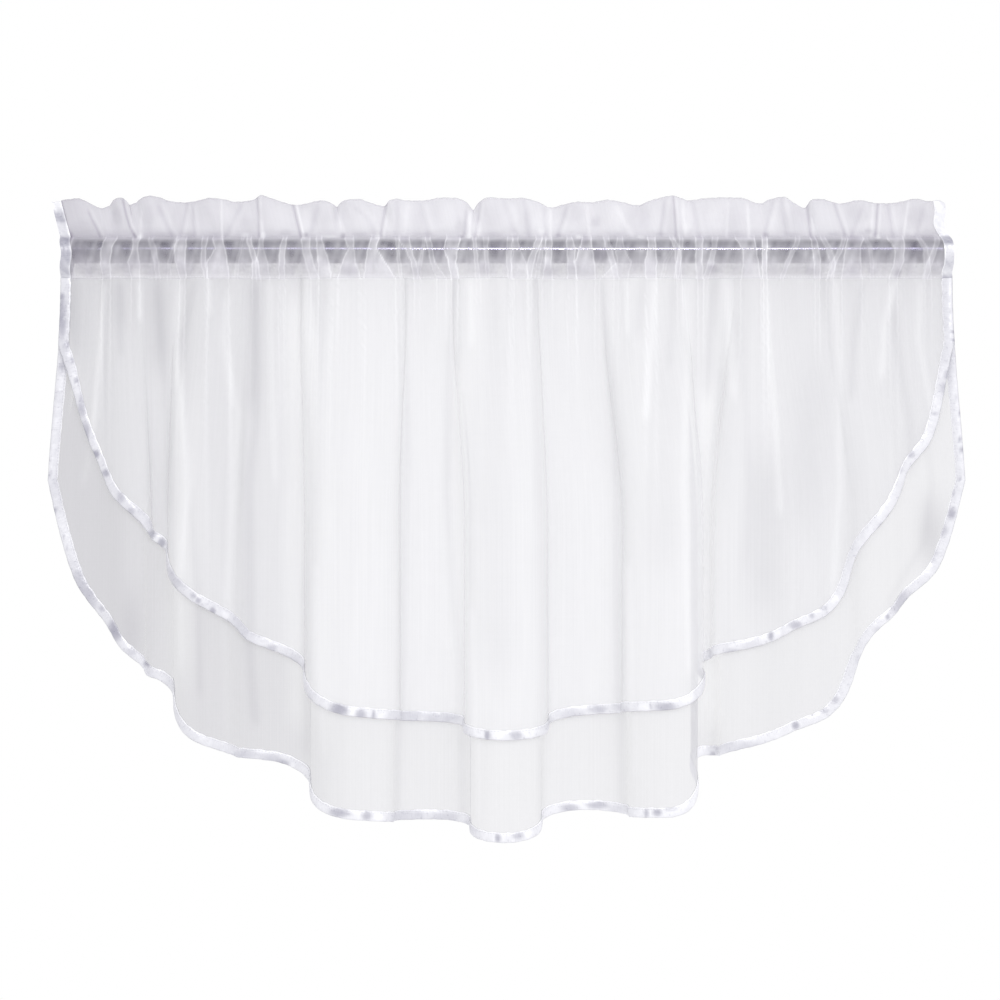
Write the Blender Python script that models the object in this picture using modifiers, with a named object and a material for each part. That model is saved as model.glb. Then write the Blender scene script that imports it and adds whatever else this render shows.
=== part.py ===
# Sheer window valance hung on its rod: two ribbon-bound panels, a gathered pocket and ruffle.
# Metres for the finished model, millimetres for the named sizes. +X along the rod, -Y to the
# room, +Z up, origin on the rod's axis at the middle of its length.
import math

import bmesh
import bpy
import numpy as np

MM = 0.001

# Rod
ROD_DIAMETER = 23.8
ROD_LENGTH = 842.0
ROD_SIDES = 48
ROD_EDGE = 0.8

# Cloth
HEADING_THICKNESS = 1.0
PANEL_THICKNESS = 1.2
RIBBON_THICKNESS = 2.1
HEADING_RIBBON_THICKNESS = 1.7
RIBBON_WIDTH = 9.5
FIT_GAP = 0.3
TURNED_GAP = 0.6

# Levels, measured from the rod's axis
POCKET_SEAM = -26.3
RUFFLE_SEAM = 12.65
PLAIN_POCKET_LEVEL = -12.0

# Distance of each layer from the middle of the cloth
LAYER_AT_SEAM = 1.7
LAYER_BELOW = 3.0
RUFFLE_LEAF = 2.1
LAYER_SPREAD_DROP = 90.0

# The folds grow and the cloth widens from the seam down to these drops
FOLD_AT_SEAM = 0.25
FOLD_FULL_DROP = 200.0
WIDTH_FULL_DROP = 240.0
GATHER_END_DROP = 120.0
GATHER_DEPTH = 2.4
GATHER_PITCH = 31.0
GATHER_WANDER = 170.0
TOP_GATHER = 0.3

# Left and right ends of the cloth at the seam and at the hem
SEAM_LEFT = -424.5
SEAM_RIGHT = 422.5
HEM_RIGHT = 436.0
HEM_RIGHT_DROP_BACK = 218.0
HEM_RIGHT_DROP_FRONT = 87.0
EVEN_EDGE = 20.0

# Side edges: stations down each side, and how far the cloth fans out from the corner
SIDE_STATIONS = 5
FAN_WIDTH = 30.0
FAN_REACH = 180.0
SOFT_SAMPLES = 5
DEEP_SAMPLES = 7
DEEP_FOLD = 14.0
PANEL_ROWS = (0.0, 0.06, 0.15, 0.28, 0.46, 0.7, 1.0)

# Each fold from left to right: where its left turn is at the seam and at the hem, how far its
# middle stands back (+) or forward (-), how far its turns tuck under, and the drop of the back
# and front hems at the turn and at the middle of the fold.
FOLD_COLUMNS = (
    "seam_x", "hem_x", "depth", "tuck", "back_turn", "back_middle", "front_turn", "front_middle")
FOLDS = (
    (-424.5, -438, 6, 0, 218, 322, 89, 165),
    (-384, -380, -7, 2, 360, 385, 220, 248),
    (-349, -342, 9, 3, 400, 409, 271, 279),
    (-313, -320, -22, 5, 432, 466, 299, 335),
    (-251, -257, 15, 6, 480, 486, 362, 380),
    (-194, -190, -26, 12, 514, 538, 409, 440),
    (-99, -105, 18, 12, 542, 542, 446, 448),
    (-50, -38, -25, 12, 550, 560, 455, 463),
    (26, 35, 18, 12, 546, 533, 454, 442),
    (93, 112, -26, 12, 537, 536, 438, 434),
    (169, 181, 20, 9, 504, 481, 406, 390),
    (216, 198, -12, 4, 480, 471, 385, 377),
    (249, 268, 6, 2, 459, 447, 362, 349),
    (304, 328, -10, 5, 404, 358, 305, 260),
    (359, 378, 8, 3, 335, 308, 216, 182),
)

# Crests and notches of the ruffle's top edge from left to right: place, height, and how far the
# edge stands back (+) or forward (-).
RUFFLE_COLUMNS = ("x", "height", "depth")
RUFFLE = (
    (-430, 47, 0), (-401, 49, -6), (-376, 41, 5), (-352, 49, -5), (-327, 47, 3),
    (-282, 49, -6), (-258, 45, 5), (-223, 48, -6), (-197, 42, 5), (-175, 48, -4),
    (-152, 41, 6), (-132, 49, -5), (-113, 42, 4), (-83, 49, -6), (-55, 48, -3),
    (-26, 38, 6), (3, 49, -7), (51, 41, 6), (98, 49, -6), (136, 43, 5),
    (162, 48, -5), (195, 48, -3), (219, 43, 5), (240, 48, -5), (269, 48, -2),
    (291, 41, 6), (315, 48, -5), (345, 49, -6), (369, 44, 5), (394, 49, -5), (428, 46, 0),
)
RUFFLE_LEAN = 9.0
RUFFLE_LEAN_START = 12.0

# The heading's front leaf in section, from the pocket seam over the rod to the ruffle's edge:
# level, and distance from the middle of the cloth. The last rows are set by the ruffle's height.
POCKET_SECTION = (
    (POCKET_SEAM + FIT_GAP / 2.0, LAYER_AT_SEAM),
    (-23.6, LAYER_AT_SEAM + 0.3),
    (-17.5, 9.3),
    (-8.0, 13.8),
    (3.5, 14.8),
    (9.8, 9.95),
    (RUFFLE_SEAM + 0.9, RUFFLE_LEAF),
)
POCKET_FULLNESS = (0.0, 0.0, 0.5, 1.0, 1.0, 0.4, 0.0)
POCKET_PUFF = 2.4
RUFFLE_MIDDLE = 0.5
RUFFLE_TURN = 1.4

BINDING_SECTIONS = 2
MERGE = 0.00005


def column(table, names, name):
    """One named column of a table as an array."""
    place = names.index(name)
    return np.array([row[place] for row in table], dtype=float)


def smooth(value):
    """0 below 0, 1 above 1, and an S-curve between."""
    part = np.clip(value, 0.0, 1.0)
    return part * part * (3.0 - 2.0 * part)


def curve_through(knots, values, where):
    """A smooth curve through the knots that doesn't overshoot between them."""
    step = np.diff(knots)
    slope = np.diff(values) / step
    tangent = np.zeros(len(knots))
    same = slope[:-1] * slope[1:] > 0.0
    left = 2.0 * step[1:] + step[:-1]
    right = step[1:] + 2.0 * step[:-1]
    product = np.where(same, slope[:-1] * slope[1:], 1.0)
    blend = (left + right) * product / (left * slope[1:] + right * slope[:-1] + (~same) * 1e9)
    tangent[1:-1] = np.where(same, blend, 0.0)
    tangent[0] = slope[0]
    tangent[-1] = slope[-1]
    where = np.clip(where, knots[0], knots[-1])
    cell = np.clip(np.searchsorted(knots, where, side="right") - 1, 0, len(knots) - 2)
    width = step[cell]
    t = (where - knots[cell]) / width
    low = (1.0 + 2.0 * t) * (1.0 - t) ** 2 * values[cell] + t * (1.0 - t) ** 2 * width * tangent[cell]
    high = t * t * (3.0 - 2.0 * t) * values[cell + 1]
    return low + high + t * t * (t - 1.0) * width * tangent[cell + 1]


def with_middles(turns, middles, end):
    """Turn and middle values in their order along the cloth, closed by the end value."""
    pairs = np.column_stack((turns, middles)).ravel()
    return np.append(pairs, end)


FOLD_COUNT = len(FOLDS)
TURN_PLACES = np.arange(FOLD_COUNT + 1.0)
HALF_PLACES = np.arange(2 * FOLD_COUNT + 1) / 2.0
HEM_X = np.append(column(FOLDS, FOLD_COLUMNS, "hem_x"), HEM_RIGHT)
DEPTHS = with_middles(np.zeros(FOLD_COUNT), column(FOLDS, FOLD_COLUMNS, "depth"), 0.0)
TUCKS = np.append(column(FOLDS, FOLD_COLUMNS, "tuck"), 0.0)
BACK_HEM = with_middles(
    column(FOLDS, FOLD_COLUMNS, "back_turn"), column(FOLDS, FOLD_COLUMNS, "back_middle"),
    HEM_RIGHT_DROP_BACK)
FRONT_HEM = with_middles(
    column(FOLDS, FOLD_COLUMNS, "front_turn"), column(FOLDS, FOLD_COLUMNS, "front_middle"),
    HEM_RIGHT_DROP_FRONT)


def tuck_at(place):
    """How far the cloth is drawn under at a place counted in folds."""
    amount = curve_through(TURN_PLACES, TUCKS, place)
    return -amount * np.sin(2.0 * math.pi * place)


def hem_line(place):
    """Plan of the cloth at full fold depth: x and y for places counted in folds."""
    x = curve_through(TURN_PLACES, HEM_X, place) + tuck_at(place)
    return x, curve_through(HALF_PLACES, DEPTHS, place)


FINE_PLACES = np.linspace(0.0, FOLD_COUNT, 40 * FOLD_COUNT + 1)
FINE_X, FINE_Y = hem_line(FINE_PLACES)
FINE_FLAT = np.append(0.0, np.cumsum(np.hypot(np.diff(FINE_X), np.diff(FINE_Y))))
FLAT_WIDTH = FINE_FLAT[-1]
SEAM_KNOTS = np.interp(TURN_PLACES, FINE_PLACES, FINE_FLAT)
SEAM_KNOTS = np.sort(np.append(SEAM_KNOTS, (EVEN_EDGE, FLAT_WIDTH - EVEN_EDGE)))
SEAM_X = np.sort(np.append(
    column(FOLDS, FOLD_COLUMNS, "seam_x"),
    (SEAM_LEFT + EVEN_EDGE, SEAM_RIGHT - EVEN_EDGE, SEAM_RIGHT)))


def flat_place(flat):
    """Place counted in folds for a distance along the flat cloth."""
    return np.interp(flat, FINE_FLAT, FINE_PLACES)


def seam_x(flat):
    """Where a point of the flat cloth is sewn along the seam."""
    return curve_through(SEAM_KNOTS, SEAM_X, flat)


def gather(x):
    """Small uneven gathers of the seams."""
    wander = 1.3 * np.sin(2.0 * math.pi * x / GATHER_WANDER)
    swell = 0.7 + 0.3 * np.sin(2.0 * math.pi * x / 97.0 + 1.0)
    return GATHER_DEPTH * swell * np.sin(2.0 * math.pi * x / GATHER_PITCH + wander)


def cloth_plan(flat, level):
    """x and y of the middle of the hung cloth for flat distance and level."""
    drop = POCKET_SEAM - level
    place = flat_place(flat)
    folding = FOLD_AT_SEAM + (1.0 - FOLD_AT_SEAM) * smooth(drop / FOLD_FULL_DROP)
    widening = smooth(drop / WIDTH_FULL_DROP)
    at_seam = seam_x(flat)
    at_hem = curve_through(TURN_PLACES, HEM_X, place)
    x = at_seam + (at_hem - at_seam) * widening + tuck_at(place) * folding
    fade = 1.0 - smooth(drop / GATHER_END_DROP)
    y = curve_through(HALF_PLACES, DEPTHS, place) * folding + gather(at_seam) * fade
    return x, y


def beside(plan, flat, level, distance):
    """The plan moved sideways by a distance, at right angles to it."""
    reach = 1.0
    x, y = plan(flat, level)
    ahead_x, ahead_y = plan(flat + reach, level)
    behind_x, behind_y = plan(flat - reach, level)
    dx = ahead_x - behind_x
    dy = ahead_y - behind_y
    length = np.maximum(np.hypot(dx, dy), 1e-6)
    return x - distance * dy / length, y + distance * dx / length


def panel_point(flat, level, side):
    """A point of the back (side 1) or front (side -1) panel."""
    drop = POCKET_SEAM - level
    spread = LAYER_AT_SEAM + (LAYER_BELOW - LAYER_AT_SEAM) * smooth(drop / LAYER_SPREAD_DROP)
    x, y = beside(cloth_plan, flat, level, side * spread)
    return np.stack((x, y, level), axis=-1) * MM


def fold_stations():
    """Places along the cloth, closer together where the folds are deep."""
    places = []
    for number, row in enumerate(FOLDS):
        samples = DEEP_SAMPLES if abs(row[2]) > DEEP_FOLD else SOFT_SAMPLES
        places.extend(number + i / samples for i in range(samples))
    places.append(FOLD_COUNT)
    return np.array(places, dtype=float)


def cut_lines(hem_drops):
    """The panel's outer edge and the inner edge of its ribbon, in flat distance and level."""
    places = fold_stations()[1:-1]
    hem_flat = np.interp(places, FINE_PLACES, FINE_FLAT)
    hem_level = -curve_through(HALF_PLACES, hem_drops, places)
    left = np.linspace(POCKET_SEAM - FIT_GAP / 2.0, -hem_drops[0], SIDE_STATIONS + 1)
    right = np.linspace(-hem_drops[-1], POCKET_SEAM - FIT_GAP / 2.0, SIDE_STATIONS + 1)
    flat = np.concatenate((np.zeros(len(left)), hem_flat, np.full(len(right), FLAT_WIDTH)))
    level = np.concatenate((left, hem_level, right))
    along_flat = np.gradient(flat)
    along_level = np.gradient(level)
    along_flat[0] = 0.0
    along_flat[-1] = 0.0
    length = np.hypot(along_flat, along_level)
    inward = np.stack((-along_level / length, along_flat / length), axis=-1)
    return np.stack((flat, level), axis=-1), inward


def top_stations(outer_flat):
    """Where each line down the panel starts on the seam: fanned out from the two corners."""
    start = RIBBON_WIDTH + TURNED_GAP
    corner = np.linspace(start, start + FAN_WIDTH, SIDE_STATIONS + 1)
    middle = outer_flat[SIDE_STATIONS + 1:-SIDE_STATIONS - 1]
    push = start + FAN_WIDTH
    from_left = push * (1.0 - smooth(middle / FAN_REACH))
    from_right = push * (1.0 - smooth((FLAT_WIDTH - middle) / FAN_REACH))
    return np.concatenate((corner, middle + from_left - from_right, FLAT_WIDTH - corner[::-1]))


def grid_object(name, points, thickness, material, home):
    """A sheet from a grid of points (lines, rows, xyz), given an even thickness."""
    lines, rows = points.shape[:2]
    mesh = bpy.data.meshes.new(name)
    shape = bmesh.new()
    bmesh.ops.create_grid(shape, x_segments=lines - 1, y_segments=rows - 1, size=1.0)
    shape.verts.ensure_lookup_table()
    for index, vert in enumerate(shape.verts):
        line = int(round((vert.co.x + 1.0) / 2.0 * (lines - 1)))
        row = int(round((vert.co.y + 1.0) / 2.0 * (rows - 1)))
        vert.co = points[line, row]
    bmesh.ops.remove_doubles(shape, verts=shape.verts, dist=MERGE)
    bmesh.ops.recalc_face_normals(shape, faces=shape.faces)
    shape.to_mesh(mesh)
    shape.free()
    piece = bpy.data.objects.new(name, mesh)
    home.objects.link(piece)
    mesh.materials.append(material)
    body = piece.modifiers.new("Thickness", "SOLIDIFY")
    body.thickness = thickness * MM
    body.offset = 0.0
    body.use_even_offset = True
    body.use_quality_normals = True
    mesh.shade_smooth()
    mesh.set_sharp_from_angle(angle=math.radians(60.0))
    return piece


def make_panel(layer, hem_drops, side, cloth, satin, home):
    """One panel and the ribbon that binds it."""
    outer, inward = cut_lines(hem_drops)
    tops = np.stack((
        top_stations(outer[:, 0]),
        np.full(len(outer), POCKET_SEAM - FIT_GAP / 2.0)), axis=-1)
    inner = outer + inward * (RIBBON_WIDTH + TURNED_GAP)
    rows = np.array(PANEL_ROWS)[None, :, None]
    flat = tops[:, None, :] + (inner - tops)[:, None, :] * rows
    grid_object(
        layer + "_panel", panel_point(flat[..., 0], flat[..., 1], side),
        PANEL_THICKNESS, cloth, home)
    band = np.stack((outer, outer + inward * RIBBON_WIDTH), axis=1)
    grid_object(
        layer + "_ribbon", panel_point(band[..., 0], band[..., 1], side),
        RIBBON_THICKNESS, satin, home)
    return tops[:, 0]


def ruffle_value(x, name):
    """Height or depth of the ruffle's top edge at x."""
    places = column(RUFFLE, RUFFLE_COLUMNS, "x")
    return curve_through(places, column(RUFFLE, RUFFLE_COLUMNS, name), x)


def heading_point(flat, leaf, row):
    """A point of the heading: the leaf is -1 in front and 1 behind, the row runs up the section."""
    along = seam_x(flat)
    height = ruffle_value(along, "height")
    wave = ruffle_value(along, "depth")
    rows = len(POCKET_SECTION)
    if row < rows:
        level, reach = POCKET_SECTION[row]
        puff = 0.5 + 0.5 * np.sin(2.0 * math.pi * along / GATHER_PITCH + 2.0 + leaf)
        reach = reach + POCKET_PUFF * POCKET_FULLNESS[row] * puff
        level = np.full_like(flat, level)
    else:
        share = (RUFFLE_MIDDLE, 1.0, 1.0)[row - rows]
        level = RUFFLE_SEAM + (height - RUFFLE_SEAM) * share
        level = level - (RUFFLE_TURN if row == rows + 1 else 0.0)
        reach = 0.0 if row == rows + 2 else RUFFLE_LEAF
    below = smooth((PLAIN_POCKET_LEVEL - level) / (PLAIN_POCKET_LEVEL - POCKET_SEAM))
    above = smooth((level - RUFFLE_SEAM) / 30.0)
    seam = np.exp(-((level - RUFFLE_SEAM) / 8.0) ** 2)

    def plan(place, at_level):
        x, y = cloth_plan(place, np.full_like(place, POCKET_SEAM))
        own_x = seam_x(place)
        x = own_x + (x - own_x) * below
        waved = ruffle_value(own_x, "depth") * above + gather(own_x) * TOP_GATHER * seam
        lean = RUFFLE_LEAN * np.clip((level - RUFFLE_LEAN_START) / 36.0, 0.0, 1.0)
        return x - lean, y * below + waved

    x, y = beside(plan, flat, level, leaf * reach)
    return np.stack((x, y, level), axis=-1) * MM


def heading_grid(flat):
    """The folded strip: up the front leaf, over the ruffle's edge and down the back leaf."""
    rows = len(POCKET_SECTION) + 3
    front = [heading_point(flat, -1, row) for row in range(rows)]
    back = [heading_point(flat, 1, row) for row in range(rows - 2, -1, -1)]
    return np.stack(front + back, axis=1)


def make_rod(metal, home):
    """The rod: a plain round bar with flat ends and a fine edge."""
    mesh = bpy.data.meshes.new("rod")
    shape = bmesh.new()
    bmesh.ops.create_cone(
        shape, cap_ends=True, segments=ROD_SIDES, radius1=ROD_DIAMETER / 2.0 * MM,
        radius2=ROD_DIAMETER / 2.0 * MM, depth=ROD_LENGTH * MM)
    for vert in shape.verts:
        vert.co = (vert.co.z, vert.co.y, -vert.co.x)
    shape.to_mesh(mesh)
    shape.free()
    rod = bpy.data.objects.new("rod", mesh)
    home.objects.link(rod)
    mesh.materials.append(metal)
    edge = rod.modifiers.new("Edge", "BEVEL")
    edge.width = ROD_EDGE * MM
    edge.segments = 1
    edge.limit_method = "ANGLE"
    edge.angle_limit = math.radians(60.0)
    mesh.shade_smooth()
    mesh.set_sharp_from_angle(angle=math.radians(40.0))
    return rod


def make_material(name, colour, roughness, metallic):
    """A plain finish."""
    material = bpy.data.materials.new(name)
    material.use_nodes = True
    shader = material.node_tree.nodes["Principled BSDF"]
    shader.inputs["Base Color"].default_value = (*colour, 1.0)
    shader.inputs["Roughness"].default_value = roughness
    shader.inputs["Metallic"].default_value = metallic
    material.diffuse_color = (*colour, 1.0)
    return material


def build():
    """The whole valance."""
    for item in list(bpy.data.objects):
        bpy.data.objects.remove(item, do_unlink=True)
    home = bpy.data.collections.new("window_valance")
    bpy.context.scene.collection.children.link(home)
    voile = {
        "front": make_material("front_voile", (0.9, 0.9, 0.92), 0.85, 0.0),
        "back": make_material("back_voile", (0.84, 0.84, 0.86), 0.85, 0.0),
        "heading": make_material("heading_voile", (0.88, 0.88, 0.9), 0.85, 0.0)}
    satin = {
        "front": make_material("front_satin", (0.86, 0.85, 0.9), 0.35, 0.0),
        "back": make_material("back_satin", (0.84, 0.83, 0.88), 0.35, 0.0),
        "left": make_material("left_satin", (0.85, 0.84, 0.89), 0.35, 0.0),
        "right": make_material("right_satin", (0.85, 0.84, 0.89), 0.35, 0.0)}
    tops = make_panel("back", BACK_HEM, 1, voile["back"], satin["back"], home)
    make_panel("front", FRONT_HEM, -1, voile["front"], satin["front"], home)
    grid_object("heading", heading_grid(tops), HEADING_THICKNESS, voile["heading"], home)
    left = np.linspace(0.0, RIBBON_WIDTH, BINDING_SECTIONS + 1)
    right = FLAT_WIDTH - left[::-1]
    grid_object(
        "heading_ribbon_left", heading_grid(left), HEADING_RIBBON_THICKNESS, satin["left"], home)
    grid_object(
        "heading_ribbon_right", heading_grid(right), HEADING_RIBBON_THICKNESS, satin["right"], home)
    make_rod(make_material("rod_metal", (0.42, 0.41, 0.46), 0.35, 0.9), home)


build()
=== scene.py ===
"""Looks of a sheer window valance: two ribbon-bound voile panels gathered on a grey rod."""

import logging
import math
from dataclasses import dataclass
from enum import Enum
from typing import Callable, Optional, Sequence, Union

import bmesh
import bpy
import numpy as np
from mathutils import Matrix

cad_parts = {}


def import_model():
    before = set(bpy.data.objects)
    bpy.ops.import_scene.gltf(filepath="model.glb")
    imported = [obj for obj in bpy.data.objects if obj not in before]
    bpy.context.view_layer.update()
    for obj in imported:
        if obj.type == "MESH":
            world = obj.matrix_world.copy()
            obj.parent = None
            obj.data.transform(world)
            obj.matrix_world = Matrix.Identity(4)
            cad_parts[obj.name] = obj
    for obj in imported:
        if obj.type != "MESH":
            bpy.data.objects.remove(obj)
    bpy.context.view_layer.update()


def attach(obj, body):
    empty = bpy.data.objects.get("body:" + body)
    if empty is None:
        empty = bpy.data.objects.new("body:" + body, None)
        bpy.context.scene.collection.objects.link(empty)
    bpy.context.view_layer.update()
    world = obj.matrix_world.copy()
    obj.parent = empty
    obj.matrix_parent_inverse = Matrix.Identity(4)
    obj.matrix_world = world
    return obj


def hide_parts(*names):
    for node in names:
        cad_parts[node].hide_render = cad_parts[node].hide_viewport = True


LOG = logging.getLogger("valance")
MM = 0.001
TURN = 2.0 * math.pi
TINY = 1e-6
Table = Sequence[Sequence[float]]
Triple = tuple[float, float, float]
Row = tuple[str, float, float, float]


def smooth(value: np.ndarray) -> np.ndarray:
    """An S-curve from 0 below 0 to 1 above 1: t squared times (3 - 2t)."""
    part = np.clip(value, 0.0, 1.0)
    return part * part * (3.0 - 2.0 * part)


def bell(away: np.ndarray, breadth: Union[float, np.ndarray]) -> np.ndarray:
    """A bell about 0: e to the minus square of the distance in breadths."""
    return np.exp(-((away / breadth) ** 2))


def spread(*parts: np.ndarray) -> np.ndarray:
    """Arrays brought to one shape and stacked along a new last axis."""
    return np.stack(np.broadcast_arrays(*parts), axis=-1)


def along(line: np.ndarray) -> np.ndarray:
    """How far each point of a line lies from its first: the sum of the steps between."""
    return np.append(0.0, np.cumsum(np.linalg.norm(np.diff(line, axis=0), axis=1)))


def read(table: Table, where: np.ndarray, part: int = 1) -> np.ndarray:
    """A part of the table's rows at places given by their first part, straight between rows."""
    rows = np.array(table, dtype=float)
    return np.interp(where, rows[:, 0], rows[:, part])


def column(table: Table, names: Sequence[str], name: str) -> np.ndarray:
    """One named column of a table as an array."""
    return np.array([row[names.index(name)] for row in table], dtype=float)


def curve_through(knots: np.ndarray, values: np.ndarray, where: np.ndarray) -> np.ndarray:
    """Cubic pieces through the knots whose slopes are weighted harmonic means, so none overshoots.

    Args:
        knots: rising places.
        values: the value at each knot.
        where: places to read.

    Returns:
        The curve's values at those places.
    """
    step = np.diff(knots)
    slope = np.diff(values) / step
    tangent = np.zeros(len(knots))
    same = slope[:-1] * slope[1:] > 0.0
    left = 2.0 * step[1:] + step[:-1]
    right = step[1:] + 2.0 * step[:-1]
    product = np.where(same, slope[:-1] * slope[1:], 1.0)
    divisor = np.where(same, left * slope[1:] + right * slope[:-1], 1.0)
    tangent[1:-1] = np.where(same, (left + right) * product / divisor, 0.0)
    tangent[0] = slope[0]
    tangent[-1] = slope[-1]
    where = np.clip(where, knots[0], knots[-1])
    cell = np.clip(np.searchsorted(knots, where, side="right") - 1, 0, len(knots) - 2)
    width = step[cell]
    t = (where - knots[cell]) / width
    low = (1.0 + 2.0 * t) * (1.0 - t) ** 2 * values[cell] + t * (1.0 - t) ** 2 * width * tangent[cell]
    high = t * t * (3.0 - 2.0 * t) * values[cell + 1]
    return low + high + t * t * (t - 1.0) * width * tangent[cell + 1]


def ripple(where: np.ndarray, pitch: float, seed: int) -> np.ndarray:
    """Uneven waves from -1 to 1: the sum of three sines of unlike height, pitch and phase.

    Args:
        where: places along the cloth.
        pitch: the highest wave's length.
        seed: picks the phases.

    Returns:
        The height of the waves there.
    """
    phases = np.random.default_rng(seed).uniform(0.0, TURN, 3)
    shares = (0.5, 0.3, 0.2)
    stretches = (1.0, 0.618, 1.73)
    waves = [s * np.sin(TURN * where / (pitch * k) + p) for s, k, p in zip(shares, stretches, phases)]
    return np.sum(waves, axis=0)


@dataclass(frozen=True)
class Wave:
    """Uneven waves of the cloth: height and pitch in millimetres, seed, and slant across them."""

    height: float
    pitch: float
    seed: int
    slant: float = 0.0

    def at(
        self, place: np.ndarray, across: Union[float, np.ndarray] = 0.0, reseed: int = 0
    ) -> np.ndarray:
        """Height times the ripple of the place plus the slant times the distance across."""
        return self.height * ripple(place + self.slant * across, self.pitch, self.seed + reseed)


class Side(Enum):
    """Which side of the cloth's middle a layer lies on."""

    FRONT = -1
    BACK = 1


@dataclass(frozen=True)
class FoldPlan:
    """How the flat cloth is gathered and folded, in millimetres.

    Each fold has its left turn at the seam and at the hem, how far its middle stands back (+) or
    forward (-), and how far its turns tuck under.
    """

    columns: tuple = ("seam_x", "hem_x", "depth", "tuck")
    folds: Table = (
        (-424.5, -438, 6, 0), (-384, -380, -7, 2), (-349, -342, 9, 3), (-313, -320, -22, 5),
        (-251, -257, 15, 6), (-194, -190, -26, 12), (-99, -105, 18, 12), (-50, -38, -25, 12),
        (26, 35, 18, 12), (93, 112, -26, 12), (169, 181, 20, 9), (216, 198, -12, 4),
        (249, 268, 6, 2), (304, 328, -10, 5), (359, 378, 8, 3))
    steps_a_fold: int = 40
    seam_left: float = -424.5
    seam_right: float = 422.5
    hem_right: float = 436.0
    even_edge: float = 20.0
    seam_level: float = -26.3
    fold_at_seam: float = 0.25
    fold_full_drop: float = 200.0
    width_full_drop: float = 240.0
    gather_end_drop: float = 120.0
    gather_depth: float = 2.4
    gather_pitch: float = 31.0
    wander: float = 1.3
    wander_pitch: float = 170.0
    swell: float = 0.3
    swell_pitch: float = 97.0
    swell_phase: float = 1.0

    def __post_init__(self) -> None:
        """Works out the arrays that the maps read."""
        count = len(self.folds)
        turns = np.arange(count + 1.0)
        depths = np.zeros(2 * count + 1)
        depths[1::2] = column(self.folds, self.columns, "depth")
        put = object.__setattr__
        put(self, "count", count)
        put(self, "turns", turns)
        put(self, "halves", np.arange(2 * count + 1) / 2.0)
        put(self, "hem_x", np.append(column(self.folds, self.columns, "hem_x"), self.hem_right))
        put(self, "depths", depths)
        put(self, "tucks", np.append(column(self.folds, self.columns, "tuck"), 0.0))
        places = np.linspace(0.0, count, self.steps_a_fold * count + 1)
        x = curve_through(turns, self.hem_x, places) + self.tuck(places)
        flat = along(spread(x, curve_through(self.halves, depths, places)))
        put(self, "fine_places", places)
        put(self, "fine_flat", flat)
        put(self, "flat_width", float(flat[-1]))
        edges = (self.even_edge, self.flat_width - self.even_edge)
        put(self, "seam_knots", np.sort(np.append(np.interp(turns, places, flat), edges)))
        ends = (self.seam_left + self.even_edge, self.seam_right - self.even_edge, self.seam_right)
        seams = np.append(column(self.folds, self.columns, "seam_x"), ends)
        put(self, "seam_places", np.sort(seams))

    def tuck(self, place: np.ndarray) -> np.ndarray:
        """How far the cloth is drawn under: minus the tuck times the sine of two turns a fold."""
        return -curve_through(self.turns, self.tucks, place) * np.sin(TURN * place)

    def seam_x(self, flat: np.ndarray) -> np.ndarray:
        """Where a distance along the flat cloth is sewn along the seam."""
        return curve_through(self.seam_knots, self.seam_places, flat)

    def gather(self, x: np.ndarray) -> np.ndarray:
        """Small gathers of the seam: a sine whose phase wanders and whose height swells.

        Args:
            x: place along the rod.

        Returns:
            How far back the seam stands there.
        """
        wander = self.wander * np.sin(TURN * x / self.wander_pitch)
        swell = self.swell * np.sin(TURN * x / self.swell_pitch + self.swell_phase)
        wave = np.sin(TURN * x / self.gather_pitch + wander)
        return self.gather_depth * (1.0 - self.swell + swell) * wave

    def plan(self, flat: np.ndarray, level: np.ndarray) -> tuple[np.ndarray, np.ndarray]:
        """The hung cloth's x and y: seam and hem places blended by drop, with folds that grow.

        Args:
            flat: distance along the flat cloth.
            level: height above the rod's axis.

        Returns:
            x and y in millimetres.
        """
        drop = self.seam_level - level
        place = np.interp(flat, self.fine_flat, self.fine_places)
        folding = self.fold_at_seam + (1.0 - self.fold_at_seam) * smooth(drop / self.fold_full_drop)
        widening = smooth(drop / self.width_full_drop)
        seam = self.seam_x(flat)
        hem = curve_through(self.turns, self.hem_x, place)
        fade = 1.0 - smooth(drop / self.gather_end_drop)
        x = seam + (hem - seam) * widening + self.tuck(place) * folding
        y = curve_through(self.halves, self.depths, place) * folding + self.gather(seam) * fade
        return x, y


def beside(
    plan: Callable[[np.ndarray, np.ndarray], tuple[np.ndarray, np.ndarray]],
    flat: np.ndarray,
    level: np.ndarray,
    distance: Union[float, np.ndarray],
) -> tuple[np.ndarray, np.ndarray]:
    """The plan moved sideways, at right angles to its own run.

    Args:
        plan: gives x and y for flat distance and level.
        flat: distance along the flat cloth.
        level: height above the rod's axis.
        distance: how far to move, to the back if above 0.

    Returns:
        x and y in millimetres.
    """
    x, y = plan(flat, level)
    ahead = plan(flat + 1.0, level)
    behind = plan(flat - 1.0, level)
    dx = ahead[0] - behind[0]
    dy = ahead[1] - behind[1]
    length = np.maximum(np.hypot(dx, dy), TINY)
    return x - distance * dy / length, y + distance * dx / length


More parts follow.
